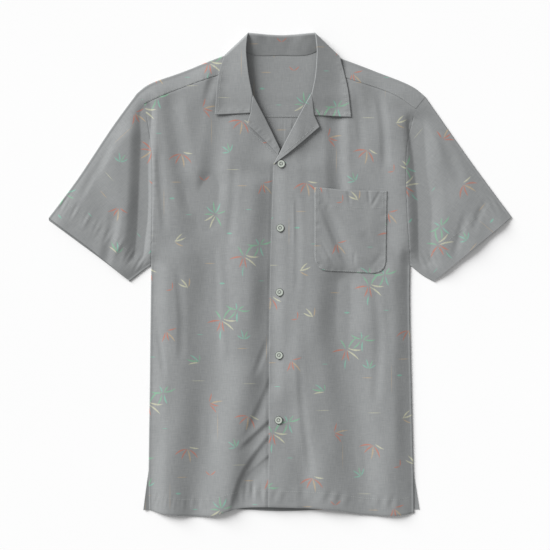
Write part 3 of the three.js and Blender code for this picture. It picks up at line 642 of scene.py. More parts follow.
def creases(x, y, rows=CREASES, lines=body_lines, fade=FADE):
    relief = np.zeros(np.shape(x))
    for (rise, left, right, *_), line in zip(rows, lines):
        reach = max(left, right)
        low, high = line.min(axis=0) - reach, line.max(axis=0) + reach
        box = (x > low[0]) & (x < high[0]) & (y > low[1]) & (y < high[1])
        if not box.any():
            continue
        distance, along, foot_x = near(line, x[box], y[box])
        length = np.hypot(*np.diff(line, axis=0).T).sum()
        ends = ease(along / fade) * ease((length - along) / fade)
        side = np.where(x[box] > foot_x, right, left)
        profile = (1 + np.cos(np.pi * np.minimum(1, distance / side))) / 2
        relief[box] += rise * ends * profile
    return relief


RIPPLE = {"waves": 16, "height": 0.13, "across": (34, 120), "down": (120, 420)}


def ripple(x, y):
    """The slack of cloth that was only smoothed by hand: faint waves, longer down than across."""
    chance = random.Random(12)
    relief = np.zeros(np.shape(x))
    for _ in range(RIPPLE["waves"]):
        across = chance.uniform(*RIPPLE["across"]) * chance.choice((-1, 1))
        down = chance.uniform(*RIPPLE["down"])
        phase = chance.uniform(0, 2 * np.pi)
        relief += RIPPLE["height"] * np.sin(2 * np.pi * (x / across + y / down) + phase)
    return relief


def neck_lift(x, y):
    distance = np.minimum(*[near(edge, x, y)[0] for edge in neck_edges])
    nearness = np.maximum(0, 1 - distance / NECK_REACH)
    return NECK_RISE * nearness**2 * ease((y - 190) / 90)


def yoke_underside(x, y):
    """The yoke is raised where the back of the collar lies under it."""
    return FALL_ROOM * (1 - ease((np.abs(x - 2) - 108) / 44)) * ease((y - 256) / 34)


def upper_top(x, y):
    """Top of the upper layer, before any seam or hem."""
    distance = np.minimum.reduce([near(edge, x, y)[0] for edge in rolled_edges])
    part = np.clip((distance - PRESSED) / ROLL, 0, 1)
    below_crest = y < np.interp(x, *shoulder_crest.T)
    lift = LOFT + creases(x, y) + neck_lift(x, y) + ripple(x, y)
    rise = np.where(below_crest, np.sin(part * np.pi / 2) * lift, 0)
    return yoke_underside(x, y) + LAYER + np.maximum(0, rise) + CLOTH


PUCKER = {"waves": 5, "length": (7, 23), "lean": (-0.25, 0.25)}
# Rows of gathers: how far inside the edge or seam they run, their reach and their height
HEM_GATHER, SIDE_GATHER, ARMHOLE_GATHER = (21, 17, 0.22), (1, 9, 0.07), (1, 12, 0.12)
CUFF_GATHER, SET_IN_GATHER = (31, 24, 0.24), (1, 13, 0.12)


def pucker(line, x, y, inset, reach, height, seed):
    """Small gathers across a row of stitches that runs so far inside a line."""
    chance = random.Random(seed)
    distance, along, _ = near(coarse(line, 12), x, y)
    wave = np.zeros(np.shape(x))
    for _ in range(PUCKER["waves"]):
        length = chance.uniform(*PUCKER["length"])
        lean = chance.uniform(*PUCKER["lean"])
        wave += np.sin(2 * np.pi * (along + lean * distance) / length + chance.uniform(0, 6.28))
    gather = ease(1 - np.abs(distance - inset) / reach)
    return height * gather * wave / 2


def seam_dip(line, x, y, depth=1.0, reach=2.6):
    """The cloth goes down into a seam."""
    return depth * (1 - rounded(away_from(line, x, y, 12), reach))


def sleeve_top(x, y):
    top = upper_top(x, y)
    for cuff, armhole, seed in ((cuff_right, armhole_right, 3), (cuff_left, armhole_left, 4)):
        beyond = (x < 0) if cuff is cuff_right else (x > 0)
        hem = pucker(cuff, x, y, *CUFF_GATHER, seed)
        set_in = seam_dip(armhole, x, y, 0.5) - pucker(armhole, x, y, *SET_IN_GATHER, seed + 8)
        top = np.where(beyond, top + hem - set_in, top)
    return top


def sleeve(name, armhole_side, fold, cuff, underarm, turn, shift, lower_shows):
    around, along = grid_parts("sleeve")
    plan = panel_plan(around, along, armhole_side, underarm, cuff, fold)
    x, y = plan[..., 0], plan[..., 1]
    edge = np.minimum(away_from(fold, x, y, 10), away_from(underarm, x, y, 10))
    swell = rounded(edge, TUBE_ROUNDING)
    swell[:, [0, -1]] = 0
    outer_bottom = 0.06
    middle = (sleeve_top(x, y) + outer_bottom) / 2
    half = sleeve_top(x, y) - middle
    shown = np.linspace(0, 1, len(around))[None, :, None]
    out = (plan[-1:] - plan[-2:-1]) / np.linalg.norm(plan[-1:] - plan[-2:-1], axis=2, keepdims=True)
    slip = lower_shows * ease(shown / 0.1) * (1 - ease((shown - 0.4) / 0.55))
    lower = plan + out * slip * (along**4)[:, None, None]
    bm = bmesh.new()
    lay_panel(bm, plan, middle + half * swell)
    lay_panel(bm, lower, middle - half * swell, faces_up=False)
    return cloth_piece(name, bm, turn, shift), 2 * plan_area(plan)


sleeve_right, area_right = sleeve(
    "sleeve_right_cloth", joined(shoulder_end_right[::-1], yoke_end_right[::-1], armhole_right[::-1]),
    sleeve_fold_right, cuff_right, underarm_right[::-1], turn=48, shift=(70, 30), lower_shows=3.4,
)
sleeve_left, area_left = sleeve(
    "sleeve_left_cloth", joined(shoulder_end_left, yoke_end_left, armhole_left),
    sleeve_fold_left[::-1], cuff_left[::-1], underarm_left, turn=-50, shift=(25, 90), lower_shows=0.8,
)

# Sewing: lockstitch in grey polyester thread, eight stitches to an inch. Each stitch is a
# small rod that sinks into the cloth at both ends. Rows run inside the sleeve and front hems,
# along the facings', collar's and pocket's edges and beside the yoke's seams.
STITCH = {"length": 2.0, "pitch": 3.1, "thread": 0.56}


def thread_finish(name, colour):
    material, surface = new_material(name, 0.6)
    place = add_node(material, "ShaderNodeTexCoord").outputs["Object"]
    twist = noise(material, place, Scale=900.0)
    shaded = (*[0.8 * part for part in linear(colour)[:3]], 1.0)
    tone = between_tones(material, twist, shaded, linear(colour))
    material.node_tree.links.new(tone, surface.inputs["Base Color"])
    surface.inputs["Sheen Weight"].default_value = 0.2
    return material


thread = thread_finish("polyester sewing thread, grey", "#a6aaa8")


def inset_line(line, inset):
    """A line moved to the left of its direction."""
    way = np.gradient(line, axis=0)
    way /= np.linalg.norm(way, axis=1, keepdims=True)
    return line + inset * np.stack([-way[:, 1], way[:, 0]], axis=1)


def sewn_thread(name, bm, finish):
    """Stitches as one smooth piece."""
    mesh = as_mesh(name, bm)
    mesh.shade_smooth()
    mesh.materials.append(finish)
    piece = placed(name, mesh)
    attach(piece, "root")
    return piece


def stitch_rows(name, rows, height):
    """Joins the stitches of several rows, each a line in plan, on a surface's height."""
    bm = bmesh.new()
    for line in rows:
        length = np.hypot(*np.diff(line, axis=0).T).sum()
        count = max(2, round(length / STITCH["pitch"]))
        middles = (np.arange(count) + 0.5) / count
        half = STITCH["length"] / 2 / length
        starts, ends = points_at(line, middles - half), points_at(line, middles + half)
        for start, end in zip(starts, ends):
            reach = np.array([start, end])
            tops = height(reach[:, 0], reach[:, 1])
            foot = Vector((*start, tops[0])) * MM
            head = Vector((*end, tops[1])) * MM
            way = head - foot
            place = Matrix.Translation((foot + head) / 2) @ way.to_track_quat("X", "Z").to_matrix().to_4x4()
            thick = STITCH["thread"] * MM
            size = Matrix.Diagonal((way.length / 2 + thick / 2, thick / 2, thick / 2, 1))
            bmesh.ops.create_uvsphere(bm, u_segments=6, v_segments=4, radius=1,
                                      matrix=place @ size @ Matrix.Rotation(np.pi / 2, 4, "Y"))
    piece = sewn_thread(name, bm, thread)
    return piece


sleeve_sewing_right = stitch_rows(
    "sleeve_right_stitches", [inset_line(cuff_right, HEM_SLEEVE)[6:-8]], sleeve_top)
sleeve_sewing_left = stitch_rows(
    "sleeve_left_stitches", [inset_line(cuff_left, HEM_SLEEVE)[8:-6]], sleeve_top)
sewn_on(sleeve_right, "sleeve_right")
sewn_on(sleeve_left, "sleeve_left")

# Yoke: one piece over both shoulders. Its back half lies inside and shows in the open neck.
# It is folded over at the shoulders, and a strip of it comes down the front to a lapped and
# topstitched seam.
YOKE_ROUNDING = 2.6  # radius of its fold along the shoulders
YOKE_FLOOR = 0.06  # clear of the surface
OVER_BACK, OVER_FRONT = 0.7, 0.35  # how far the yoke's edges rise over the panels in its seams
SEAM_STITCH = 1.8  # distance of a topstitched row from its seam
neck_seam = smooth_line((61, 357.5), (42.9, 351), (1.3, 350.5), (-41.9, 351.1), (-57, 357.5))
front_seam_right = smooth_line((-53.4, 334), (-112.3, 315.3), (-179.8, 290.8), (-217.9, 273.8))
front_seam_left = smooth_line((216.6, 265.5), (181.1, 288.4), (105.1, 314.6), (58.8, 332))


def yoke_bottom(x, y):
    over_back = OVER_BACK * (1 - ease((y - back_seam_allowance[0][1]) / 20))
    return yoke_underside(x, y) + YOKE_FLOOR + over_back


def yoke_inside(x, y):
    """The side of the yoke's back half that shows in the neck."""
    return yoke_bottom(x, y) + SHELL


def yoke_strip_top(x, y):
    over_front = OVER_FRONT + pucker(front_seam_right, x, y, 2, 9, 0.14, 21)
    return upper_top(x, y) + over_front - 0.6 * seam_dip(front_seam_left, x, y, 0.8, 1.2)


def yoke():
    bm = bmesh.new()
    along_right = points_at(shoulder_right[::-1], np.linspace(0, 1, 73))
    along_left = points_at(shoulder_left[::-1], np.linspace(0, 1, 73))
    over_neck = points_at(neck_seam[::-1], np.linspace(0, 1, 49))
    crest = joined(along_right, over_neck, along_left)
    rows = closer_at_ends(46, 0.7)
    lower = between_edges(
        points_at(back_seam, fractions(crest)),
        points_at(joined(yoke_end_left[::-1], shoulder_end_left[::-1]), rows),
        crest,
        points_at(joined(yoke_end_right, shoulder_end_right), rows),
    )
    strips = []
    for seam, crest_side, outer, inner in (
        (front_seam_right[::-1], along_right, shoulder_end_right, smooth_line((-53.4, 334), (-57, 357.5))),
        (front_seam_left[::-1], along_left, smooth_line((58.8, 332), (61, 357.5)), shoulder_end_left[::-1]),
    ):
        rise = closer_at_ends(18, 0.8)
        strips.append(between_edges(
            points_at(seam, fractions(crest_side)), points_at(inner, rise),
            crest_side, points_at(outer, rise),
        ))
    total = 0
    for plan, faces_up in ((lower, False), (strips[0], True), (strips[1], True)):
        x, y = plan[..., 0], plan[..., 1]
        edge = np.minimum(away_from(shoulder_right, x, y, 8), away_from(shoulder_left, x, y, 8))
        middle = (yoke_strip_top(x, y) + yoke_bottom(x, y)) / 2
        half = (yoke_strip_top(x, y) - middle) * rounded(edge, YOKE_ROUNDING)
        if faces_up:
            half[-1] = 0
        else:
            half[-1, :len(along_right)] = 0
            half[-1, -len(along_left):] = 0
        lay_panel(bm, plan, middle + half * (1 if faces_up else -1), faces_up)
        total += plan_area(plan)
    return cloth_piece("yoke_cloth", bm, 0, (10, 60)), total


yoke_piece, area = yoke()
yoke_sewing = [
    stitch_rows("yoke_front_stitches", [
        inset_line(front_seam_right, -SEAM_STITCH)[4:-2], inset_line(front_seam_left, -SEAM_STITCH)[2:-4],
    ], yoke_strip_top),
    stitch_rows("yoke_back_stitches", [
        smooth_line((-195, 252.2 + SEAM_STITCH), (195, 252.2 + SEAM_STITCH)),
    ], yoke_inside),
]
sewn_on(yoke_piece, "yoke")

# Fronts: one panel each, in the same cloth, turned up 26 mm at the hem. The wearer's left
# front laps over the right one as far as the buttons need, and the cloth folds of itself at
# the centre edge. Both are sewn to the back at the sides down to the vents.
HEM = 26
UNDER_EDGE = 15.7  # X of the right front's edge, which lies under the left one
LAP = (25, 45)  # X where the left front starts and ends coming down from the lap
RIDGE = {"rise": 0.45, "x": 21.8, "width": 1.5, "bottom": 40, "top": 128, "fade": 22}
SIDE_EDGE, CUT_EDGE = (1.1, 1.3), (0.6, 1.2)  # depth and radius of a rounded edge
FRONT_SEAM = (0.45, 1.4)  # depth and reach of the dip at the yoke's seam
TOUCH_DOWN = 0.4  # softness with which a trough of the right front meets the back
hem_right = smooth_line((-209.9, -376.6), (-189.1, -382.3), (-112.3, -386.2), (-64.3, -374.2), (15.7, -371.8))
hem_left = smooth_line((-18.9, -371.8), (82.4, -376.2), (133.4, -384.1), (191.7, -385.4), (214.4, -381.7))
placket = smooth_line((-11, 173.5), (-16.3, -8.6), (-18.9, -371.8))
under_edge = smooth_line((UNDER_EDGE, -371.8), (UNDER_EDGE, 170))


def edge_drop(line, x, y, depth, radius):
    """How far an edge rolls down."""
    return depth * (1 - rounded(away_from(line, x, y, 8), radius))


def sewn_edges(x, y, hem, side, armhole, seam, vent, armhole_dip, seed):
    """Gathers of a front along its stitches and seams, less what its edges roll down."""
    gathers = pucker(hem, x, y, *HEM_GATHER, seed) + pucker(side, x, y, *SIDE_GATHER, seed + 1)
    gathers += pucker(armhole, x, y, *ARMHOLE_GATHER, seed + 2)
    seams = seam_dip(armhole, x, y, armhole_dip) + seam_dip(seam, x, y, *FRONT_SEAM)
    edges = edge_drop(side, x, y, *SIDE_EDGE) + edge_drop(vent, x, y, *CUT_EDGE)
    return gathers - seams - edges - edge_drop(hem, x, y, *CUT_EDGE)


def front_right_top(x, y):
    above_back = upper_top(x, y) + creases(x, y, DRAGS, drag_lines) - LAYER - CLOTH
    top = LAYER + CLOTH + (above_back + np.sqrt(above_back**2 + TOUCH_DOWN)) / 2
    top += sewn_edges(x, y, hem_right, side_right, armhole_right, front_seam_right, vent_right, 0.4, 5)
    distance, along, _ = near(coarse(placket), x, y)
    dip = 0.5 + 0.25 * np.sin(along / 17) * np.sin(along / 41 + 1)
    return top - dip * ease((5 - distance) / 4)


def lap(x, y):
    """The left front lies one layer up over the right one's edge, which shows as a short ridge."""
    ends = ease((y - RIDGE["bottom"]) / RIDGE["fade"]) * ease((RIDGE["top"] - y) / RIDGE["fade"])
    ridge = RIDGE["rise"] * np.exp(-((x - RIDGE["x"]) / RIDGE["width"]) ** 2) * ends
    return LAYER * (1 - ease((x - LAP[0]) / (LAP[1] - LAP[0]))) + ridge


def front_left_top(x, y):
    top = upper_top(x, y) + lap(x, y) - edge_drop(placket, x, y, 0.3, 0.5)
    return top + sewn_edges(x, y, hem_left, side_left, armhole_left, front_seam_left, vent_left, 0.3, 9)


def front(name, bottom, right, top, left, height, shift):
    plan = panel_plan(*grid_parts("front"), bottom, right, top, left)
    return single_panel(name, plan, height, 0, shift)


NECK_TURN = 1.5  # the fronts end this far inside the lapels' rolls
front_right, area_right = front(
    "front_right_cloth", hem_right,
    joined(under_edge, inset_line(roll_right, NECK_TURN), inset_line(front_neck_right, NECK_TURN)),
    front_seam_right[::-1],
    joined(vent_right, side_right, armhole_right, yoke_end_right),
    front_right_top, (0, 0),
)
front_left, area_left = front(
    "front_left_cloth", hem_left,
    joined(vent_left[::-1], side_left[::-1], armhole_left[::-1], yoke_end_left[::-1]),
    front_seam_left[::-1],
    joined(placket[::-1], inset_line(roll_left[::-1], -NECK_TURN),
           inset_line(front_neck_left[::-1], -NECK_TURN)),
    front_left_top, (118, 47),
)
front_sewing_right = stitch_rows("front_right_stitches", [inset_line(hem_right, HEM)[1:-9]], front_right_top)
front_sewing_left = stitch_rows("front_left_stitches", [inset_line(hem_left, HEM)[1:-1]], front_left_top)
sewn_on(front_right, "front_right")
sewn_on(front_left, "front_left")

# Facings: the inside of each front's edge, which turns back at the open neck as a lapel. It
# is two layers with a rolled fold, and its free edge stands a little off the front.
LAPEL_LIFT = 3  # how far the free edge stands off
LAPEL_WIDTH, LAPEL_WIDTH_RIGHT = 45, 26  # distance from the roll at which it stands off that far
DOUBLE_SHELL = 1.1  # thickness of two layers pressed together
FOLD_ROUNDING = 0.8
EDGE_STITCH = 5
EDGE_GATHER = (EDGE_STITCH, 7, 0.13)
ROLL_AIR = {"rise": 0.7, "reach": 30}
DOUBLE_EDGE, GORGE = (0.4, 0.7), (0.5, 1.5)  # depth and radius of an edge and of the gorge seam
gorge_right = smooth_line((-47.4, 258.2), (-44, 288.2))
gorge_left = smooth_line((50.6, 291.1), (54.4, 254.8))
lapel_top_right = smooth_line((-47.4, 258.2), (-52.8, 240.7))
lapel_top_left = smooth_line((62.9, 235.8), (54.4, 254.8))
lapel_edge_right = smooth_line((-52.8, 240.7), (-20.2, 209.7), (-3.6, 191.8))
lapel_end_right = smooth_line((-3.6, 191.8), (-0.3, 201.4))
lapel_edge_left = smooth_line((-10.6, 176.2), (18.6, 198), (62.9, 235.8))


def lapel_top(x, y, roll, edges, gorge, on_front, width, seed):
    from_roll = away_from(roll, x, y, 8)
    top = upper_top(x, y) + on_front(x, y) + LAYER
    top += LAPEL_LIFT * np.minimum(1, from_roll / width)
    top += ROLL_AIR["rise"] * np.sin(np.minimum(1, from_roll / ROLL_AIR["reach"]) * np.pi)
    top -= 1.5 * CLOTH * (1 - rounded(from_roll, FOLD_ROUNDING))
    for edge in edges:
        top -= edge_drop(edge, x, y, *DOUBLE_EDGE)
    top += pucker(edges[0], x, y, *EDGE_GATHER, seed)
    return top - seam_dip(gorge, x, y, *GORGE)


def no_lap(x, y):
    return np.zeros(np.shape(x))


def lapel_right_top(x, y):
    edges = (lapel_edge_right, lapel_top_right)
    return lapel_top(x, y, roll_right, edges, gorge_right, no_lap, LAPEL_WIDTH_RIGHT, 31)


def lapel_left_top(x, y):
    edges = (lapel_edge_left, lapel_top_left)
    return lapel_top(x, y, roll_left, edges, gorge_left, lap, LAPEL_WIDTH, 32)


def lapel(name, bottom, right, top, left, height, turn, shift):
    plan = panel_plan(*grid_parts("lapel"), bottom, right, top, left)
    return single_panel(name, plan, height, turn, shift, DOUBLE_SHELL)


lapel_right, area_right = lapel(
    "facing_right_cloth", lapel_end_right, roll_right, joined(lapel_top_right[::-1], gorge_right),
    lapel_edge_right[::-1], lapel_right_top, turn=-25, shift=(-60, 40),
)
tip = lapel_edge_left[:4]
lapel_left, area_left = lapel(
    "facing_left_cloth", tip, lapel_edge_left[3:], joined(gorge_left, lapel_top_left[::-1]),
    roll_left[::-1], lapel_left_top, turn=25, shift=(85, 66),
)
lapel_sewing_right = stitch_rows(
    "facing_right_stitches", [inset_line(lapel_edge_right, -EDGE_STITCH)[3:-4]], lapel_right_top)
lapel_sewing_left = stitch_rows(
    "facing_left_stitches", [inset_line(lapel_edge_left, EDGE_STITCH)[6:-3]], lapel_left_top)
sewn_on(lapel_right, "facing_right")
sewn_on(lapel_left, "facing_left")

# Collar: a one-piece camp collar in two layers. It stands up from the neck seam at the back,
# folds over along its top, and falls outside: on the fronts as two pointed leaves, and
# behind the neck as a strip that lies under the yoke.
LEAF_REACH = 42  # distance from the fold over which the air under a leaf runs out
STAND_RISE, STAND_DEPTH = 6.6, 34  # how far the stand rises, over how wide a strip in plan
STAND_FOOT = FALL_ROOM + CLOTH
SLOPE_ROUNDING = 4.5  # radius of the fold along the collar's top and slopes
COLLAR_BOTTOM = 0.06
LEAF_AIR = {"front": 0.5, "shoulder": 1.6}  # under the fold, and what is added over the shoulder
LEAF_CURL = {"rise": 0.7, "reach": 9}
STAND_WAVES = (0.14, 0.3)
STAND_ENDS = 2.6  # extra rise beside the leaves
STAND_SEAM = (0.8, 0.05)
collar_top = smooth_line((55.4, 387.1), (1.1, 383.4), (-51, 387))
collar_slope_right = smooth_line((-51, 387), (-88.3, 352.4))
collar_slope_left = smooth_line((95, 349.8), (55.4, 387.1))
collar_edge_right = smooth_line((-88.3, 352.4), (-98.7, 319.4), (-104.6, 255.6))
collar_edge_left = smooth_line((113.6, 251.9), (107.8, 298.8), (95, 349.8))
collar_front_right = smooth_line((-104.6, 255.6), (-47.4, 258.2))
collar_front_left = smooth_line((54.4, 254.8), (113.6, 251.9))
fall_edge = smooth_line((-88.3, 352.4), (-54.7, 318), (1.3, 311.4), (56, 318), (95, 349.8))


def bridged_top(x, y, share):
    """Top of the upper layer as a stiffer piece on it follows it, which bridges part of a trough."""
    return upper_top(x, y) - share * np.minimum(0, creases(x, y))


def collar_bed(x, y):
    """What the leaves lie on. They don't roll down with the shoulder under them."""
    lift = LOFT + 0.4 * creases(x, y) + neck_lift(x, y) + ripple(x, y)
    return yoke_underside(x, y) + LAYER + lift + CLOTH


def leaf_raw(x, y):
    """Top of a leaf without its edges: highest at its fold and over the shoulder."""
    fold = np.minimum(away_from(collar_fold_right, x, y, 9), away_from(collar_fold_left, x, y, 9))
    nearness = np.maximum(0, 1 - fold / LEAF_REACH)
    air = LEAF_AIR["front"] + LEAF_AIR["shoulder"] * ease((y - 280) / 60)
    edges = (collar_front_right, collar_front_left, collar_edge_right, collar_edge_left)
    to_edge = np.minimum.reduce([away_from(edge, x, y) for edge in edges])
    curl = LEAF_CURL["rise"] * np.exp(-(to_edge / LEAF_CURL["reach"]) ** 2) * ease((350 - y) / 40)
    return collar_bed(x, y) + LAYER + air * nearness + curl


def stand_raw(x, y):
    """Neck side of the stand. It rises to the leaves at both ends."""
    up = away_from(neck_seam, x, y, 6) / STAND_DEPTH
    wrinkles = STAND_WAVES[0] * np.sin(x / 3.7 + np.sin(y / 7))
    wrinkles += STAND_WAVES[1] * np.sin(x / 8.3 + y / 9 + np.sin(x / 19))
    wrinkles *= ease(up * 3) * ease((1 - up) * 3) * (0.6 + 0.4 * np.sin(x / 17))
    ends = STAND_ENDS * ease((np.abs(x - 2) - 20) / 31) * np.clip(up, 0, 1)
    dip = STAND_SEAM[0] * (1 - rounded(up, STAND_SEAM[1]))
    return STAND_FOOT + STAND_RISE * up + ends + wrinkles - dip


def leaf_top(x, y):
    top = leaf_raw(x, y)
    for fold, edges, gorge, seed in (
        (collar_fold_right, (collar_edge_right, collar_front_right), gorge_right, 41),
        (collar_fold_left, (collar_edge_left, collar_front_left), gorge_left, 42),
    ):
        side = (x < 0) if fold is collar_fold_right else (x > 0)
        from_fold = away_from(fold, x, y, 6)
        roll = (leaf_raw(x, y) - upper_top(x, y)) * (1 - rounded(from_fold, FOLD_ROUNDING))
        trims = edge_drop(edges[0], x, y, *DOUBLE_EDGE) + edge_drop(edges[1], x, y, *DOUBLE_EDGE)
        gather = pucker(edges[1], x, y, EDGE_STITCH, 6, 0.13, seed)
        gather += pucker(edges[0], x, y, EDGE_STITCH, 6, 0.1, seed)
        top = top + np.where(side, gather - roll - trims - seam_dip(gorge, x, y, *GORGE), 0)
    return top


def collar():
    bm = bmesh.new()
    columns, rows = grid_parts("leaf")
    slope_right = points_at(collar_slope_right[::-1], columns)
    slope_left = points_at(collar_slope_left[::-1], columns)
    leaf_right = panel_plan(
        columns, rows, collar_front_right, joined(gorge_right, collar_fold_right),
        collar_slope_right[::-1], collar_edge_right[::-1],
    )
    leaf_left = panel_plan(
        columns, rows, collar_front_left, collar_edge_left,
        collar_slope_left[::-1], joined(gorge_left[::-1], collar_fold_left[::-1]),
    )
    slopes = [coarse(collar_slope_right, 4), coarse(collar_slope_left, 4)]
    area = 0
    for plan in (leaf_right, leaf_left):
        x, y = plan[..., 0], plan[..., 1]
        swell = rounded(np.minimum(near(slopes[0], x, y)[0], near(slopes[1], x, y)[0]), SLOPE_ROUNDING)
        swell[-1] = 0
        middle = (leaf_raw(x, y) + COLLAR_BOTTOM) / 2
        lay_panel(bm, plan, middle + (leaf_top(x, y) - middle) * swell)
        area += plan_area(plan)

    top_line = points_at(collar_top[::-1], np.linspace(0, 1, 61))
    crest = joined(slope_right, top_line, slope_left)
    edge = points_at(fall_edge, fractions(crest))
    crest_lines = [*slopes, coarse(collar_top, 4)]
    part = closer_at_ends(36, 0.6)[:, None, None]
    fall = (1 - part) * edge[None] + part * crest[None]
    x, y = fall[..., 0], fall[..., 1]
    over_stand = (x > -51) & (x < 55.4)
    middle = (np.where(over_stand, stand_raw(x, y), leaf_raw(x, y)) + COLLAR_BOTTOM) / 2
    swell = rounded(np.minimum.reduce([near(line, x, y)[0] for line in crest_lines]), SLOPE_ROUNDING)
    swell[-1] = 0
    lay_panel(bm, fall, middle - (middle - COLLAR_BOTTOM) * swell, faces_up=False)
    area += plan_area(fall)

    foot = points_at(neck_seam[::-1], fractions(top_line))
    part = closer_at_ends(26, 0.6)[:, None, None]
    stand = (1 - part) * foot[None] + part * top_line[None]
    x, y = stand[..., 0], stand[..., 1]
    swell = rounded(away_from(collar_top, x, y, 4), SLOPE_ROUNDING)
    swell[-1] = 0
    middle = (stand_raw(x, y) + COLLAR_BOTTOM) / 2
    lay_panel(bm, stand, middle + (stand_raw(x, y) - middle) * swell)
    area += plan_area(stand)
    return cloth_piece("collar_cloth", bm, 0, (30, 15), DOUBLE_SHELL), area


collar_piece, area = collar()
collar_sewing = stitch_rows("collar_stitches", [
    inset_line(collar_edge_right, EDGE_STITCH)[12:-3], inset_line(collar_front_right, EDGE_STITCH),
    inset_line(collar_edge_left, EDGE_STITCH)[3:-12], inset_line(collar_front_left, EDGE_STITCH),
], leaf_top)
sewn_on(collar_piece, "collar")

# Pocket: a patch pocket with rounded lower corners, stitched to the left front along its
# sides and bottom. Its mouth has a 27 mm hem with a tacked end at each side.
MOUTH_HEM = 27
POCKET_STITCH = 1.7  # distance of its stitches from its edge
mouth_left, foot_left = np.array([54.9, 139.3]), np.array([55.0, 6.4])
foot_right, mouth_right = np.array([169.0, 1.0]), np.array([171.2, 133.8])
POCKET_RADIUS = 24
POCKET_AIR, POCKET_REACH = 2, 28  # how far the middle stands off, and how far in that starts
POCKET_SETTLE = 0.2  # the pocket lies this much closer than a loose layer
POCKET_EDGE = (0.65, 0.8)  # depth and radius of the turned-in edge
BEND_STEPS = 12
POCKET_CREASES = [
    (-2.5, 13, 19, (52, 160), (61, 129), (73, 96), (90, 60), (106, 24), (114, -4)),
    (-0.6, 4, 4, (108, 140), (110, 126), (112, 106)),
    (-0.7, 4, 4, (140, 142), (141, 128), (143, 108)),
    (-0.8, 4, 5, (166, 144), (158, 130), (144, 106)),
    (-0.6, 13, 12, (130, 70), (142, 52), (156, 34)),
    (-0.7, 4, 4, (118, 40), (119, 24), (119, 4)),
    (-0.6, 7, 7, (172, 44), (156, 24), (142, 8)),
    (-0.8, 4, 5, (58, 40), (70, 22), (78, 4)),
    (-0.7, 4, 4, (62, 60), (74, 36), (90, 8)),
]
POCKET_FADE = 12
pocket_crease_lines = crease_lines(POCKET_CREASES, 30)


def bend(before, corner, after):
    """The rounded corner of the pocket, as points."""
    start = corner + (before - corner) / np.linalg.norm(before - corner) * POCKET_RADIUS
    end = corner + (after - corner) / np.linalg.norm(after - corner) * POCKET_RADIUS
    t = np.linspace(0, 1, BEND_STEPS + 1)[:, None]
    return (1 - t) ** 2 * start + 2 * t * (1 - t) * corner + t * t * end


pocket_edge = np.vstack([
    mouth_left, bend(mouth_left, foot_left, foot_right),
    bend(foot_left, foot_right, mouth_right), mouth_right,
])
pocket_mouth = smooth_line(mouth_left, (78, 137.8), (104, 134.6), (140, 134.2), mouth_right)


def pocket_top(x, y):
    slack = creases(x, y, POCKET_CREASES, pocket_crease_lines, POCKET_FADE)
    distance = away_from(pocket_edge, x, y, 6)
    inside = ease(distance / POCKET_REACH)
    top = bridged_top(x, y, inside) + lap(x, y) + LAYER - POCKET_SETTLE
    top += np.maximum(-POCKET_SETTLE, (POCKET_AIR + slack) * inside)
    top += pucker(pocket_edge, x, y, 2, 9, 0.16, 51)
    top += pucker(pocket_mouth, x, y, MOUTH_HEM, 9, 0.2, 52)
    top -= POCKET_EDGE[0] * (1 - rounded(distance, POCKET_EDGE[1]))
    return top - edge_drop(pocket_mouth, x, y, 0.4, 0.8)


def pocket():
    half = BEND_STEPS // 2 + 1
    left = pocket_edge[:half + 1][::-1]
    bottom = pocket_edge[half:-half]
    right = pocket_edge[-half - 1:]
    plan = panel_plan(*grid_parts("pocket"), bottom, right, pocket_mouth, left)
    return single_panel("pocket_cloth", plan, pocket_top, 0, (200, 96))


def tack(top, sideways):
    """A tacked end of the mouth's hem: a narrow box of stitches."""
    inner, outer = top + (7 * sideways, -1.5), top + (1.8 * sideways, -1.5)
    return [smooth_line(inner, inner + (0, -MOUTH_HEM + 2)), smooth_line(inner, outer)]


pocket_piece, area = pocket()
pocket_sewing = stitch_rows("pocket_stitches", [
    inset_line(pocket_edge, POCKET_STITCH), inset_line(pocket_mouth, -MOUTH_HEM)[5:-5],
    *tack(mouth_left, 1), *tack(mouth_right, -1),
], pocket_top)
sewn_on(pocket_piece, "pocket")

# Buttons: five turned resin buttons with a dark rim, a pale ring and a sunk eye with four
# holes, sewn through the right front and passed through buttonholes in the left one. The rim's
# dark colour is partly its own and partly a painted contact shadow round the button.
BUTTON_PLACES = {
    "button_1": (1.6, 177.0), "button_2": (0, 74.6), "button_3": (-1.1, -28.2),
    "button_4": (-1.8, -129.0), "button_5": (-2.6, -232.6),
}
BUTTON_RADIUS = 6.4
# Radius and height of the button's turned profile, from its underside round to its eye
BUTTON_PROFILE = [
    (0, 0), (5.6, 0), (6.2, 0.3), (6.4, 0.75), (6.4, 1.2), (6.3, 1.42), (6.05, 1.5), (5.6, 1.5),
    (4.6, 1.49), (3.6, 1.48), (3.05, 1.44), (2.85, 1.32), (2.1, 1.3), (1.9, 1.34), (0, 1.34),
]
# Radius past which a button takes the dark rim colour, which holds a painted contact shadow, and the eye's
# ring
RIM_FROM, EYE_TO, EYE_FROM = 5.7, 3.0, 2.0
HOLE_RADIUS, HOLE_PLACE = 0.62, 1.25
BUTTON_SINK = 0.7  # how far the cloth under a button is drawn from its highest point to its mean
# Threads through a button's holes: distance between two, height, and half sizes of each
EYE_THREAD = {"pitch": 0.28, "height": 1.38, "half": (0.17, 1.25 * HOLE_PLACE, 0.26)}
BUTTONHOLE = {"length": 16, "pitch": 0.75, "slit": 0.35, "bite": 1.3, "half": (0.75, 0.3, 0.2)}


def resin(name, dark, light, roughness):
    """Cast polyester resin, turned and polished: slightly cloudy, with a soft gloss."""
    material, surface = new_material(name, roughness)
    place = add_node(material, "ShaderNodeTexCoord").outputs["Object"]
    cloud = noise(material, place, Scale=420.0, Detail=3.0)
    tone = between_tones(material, cloud, linear(dark), linear(light))
    material.node_tree.links.new(tone, surface.inputs["Base Color"])
    surface.inputs["IOR"].default_value = 1.54
    return material
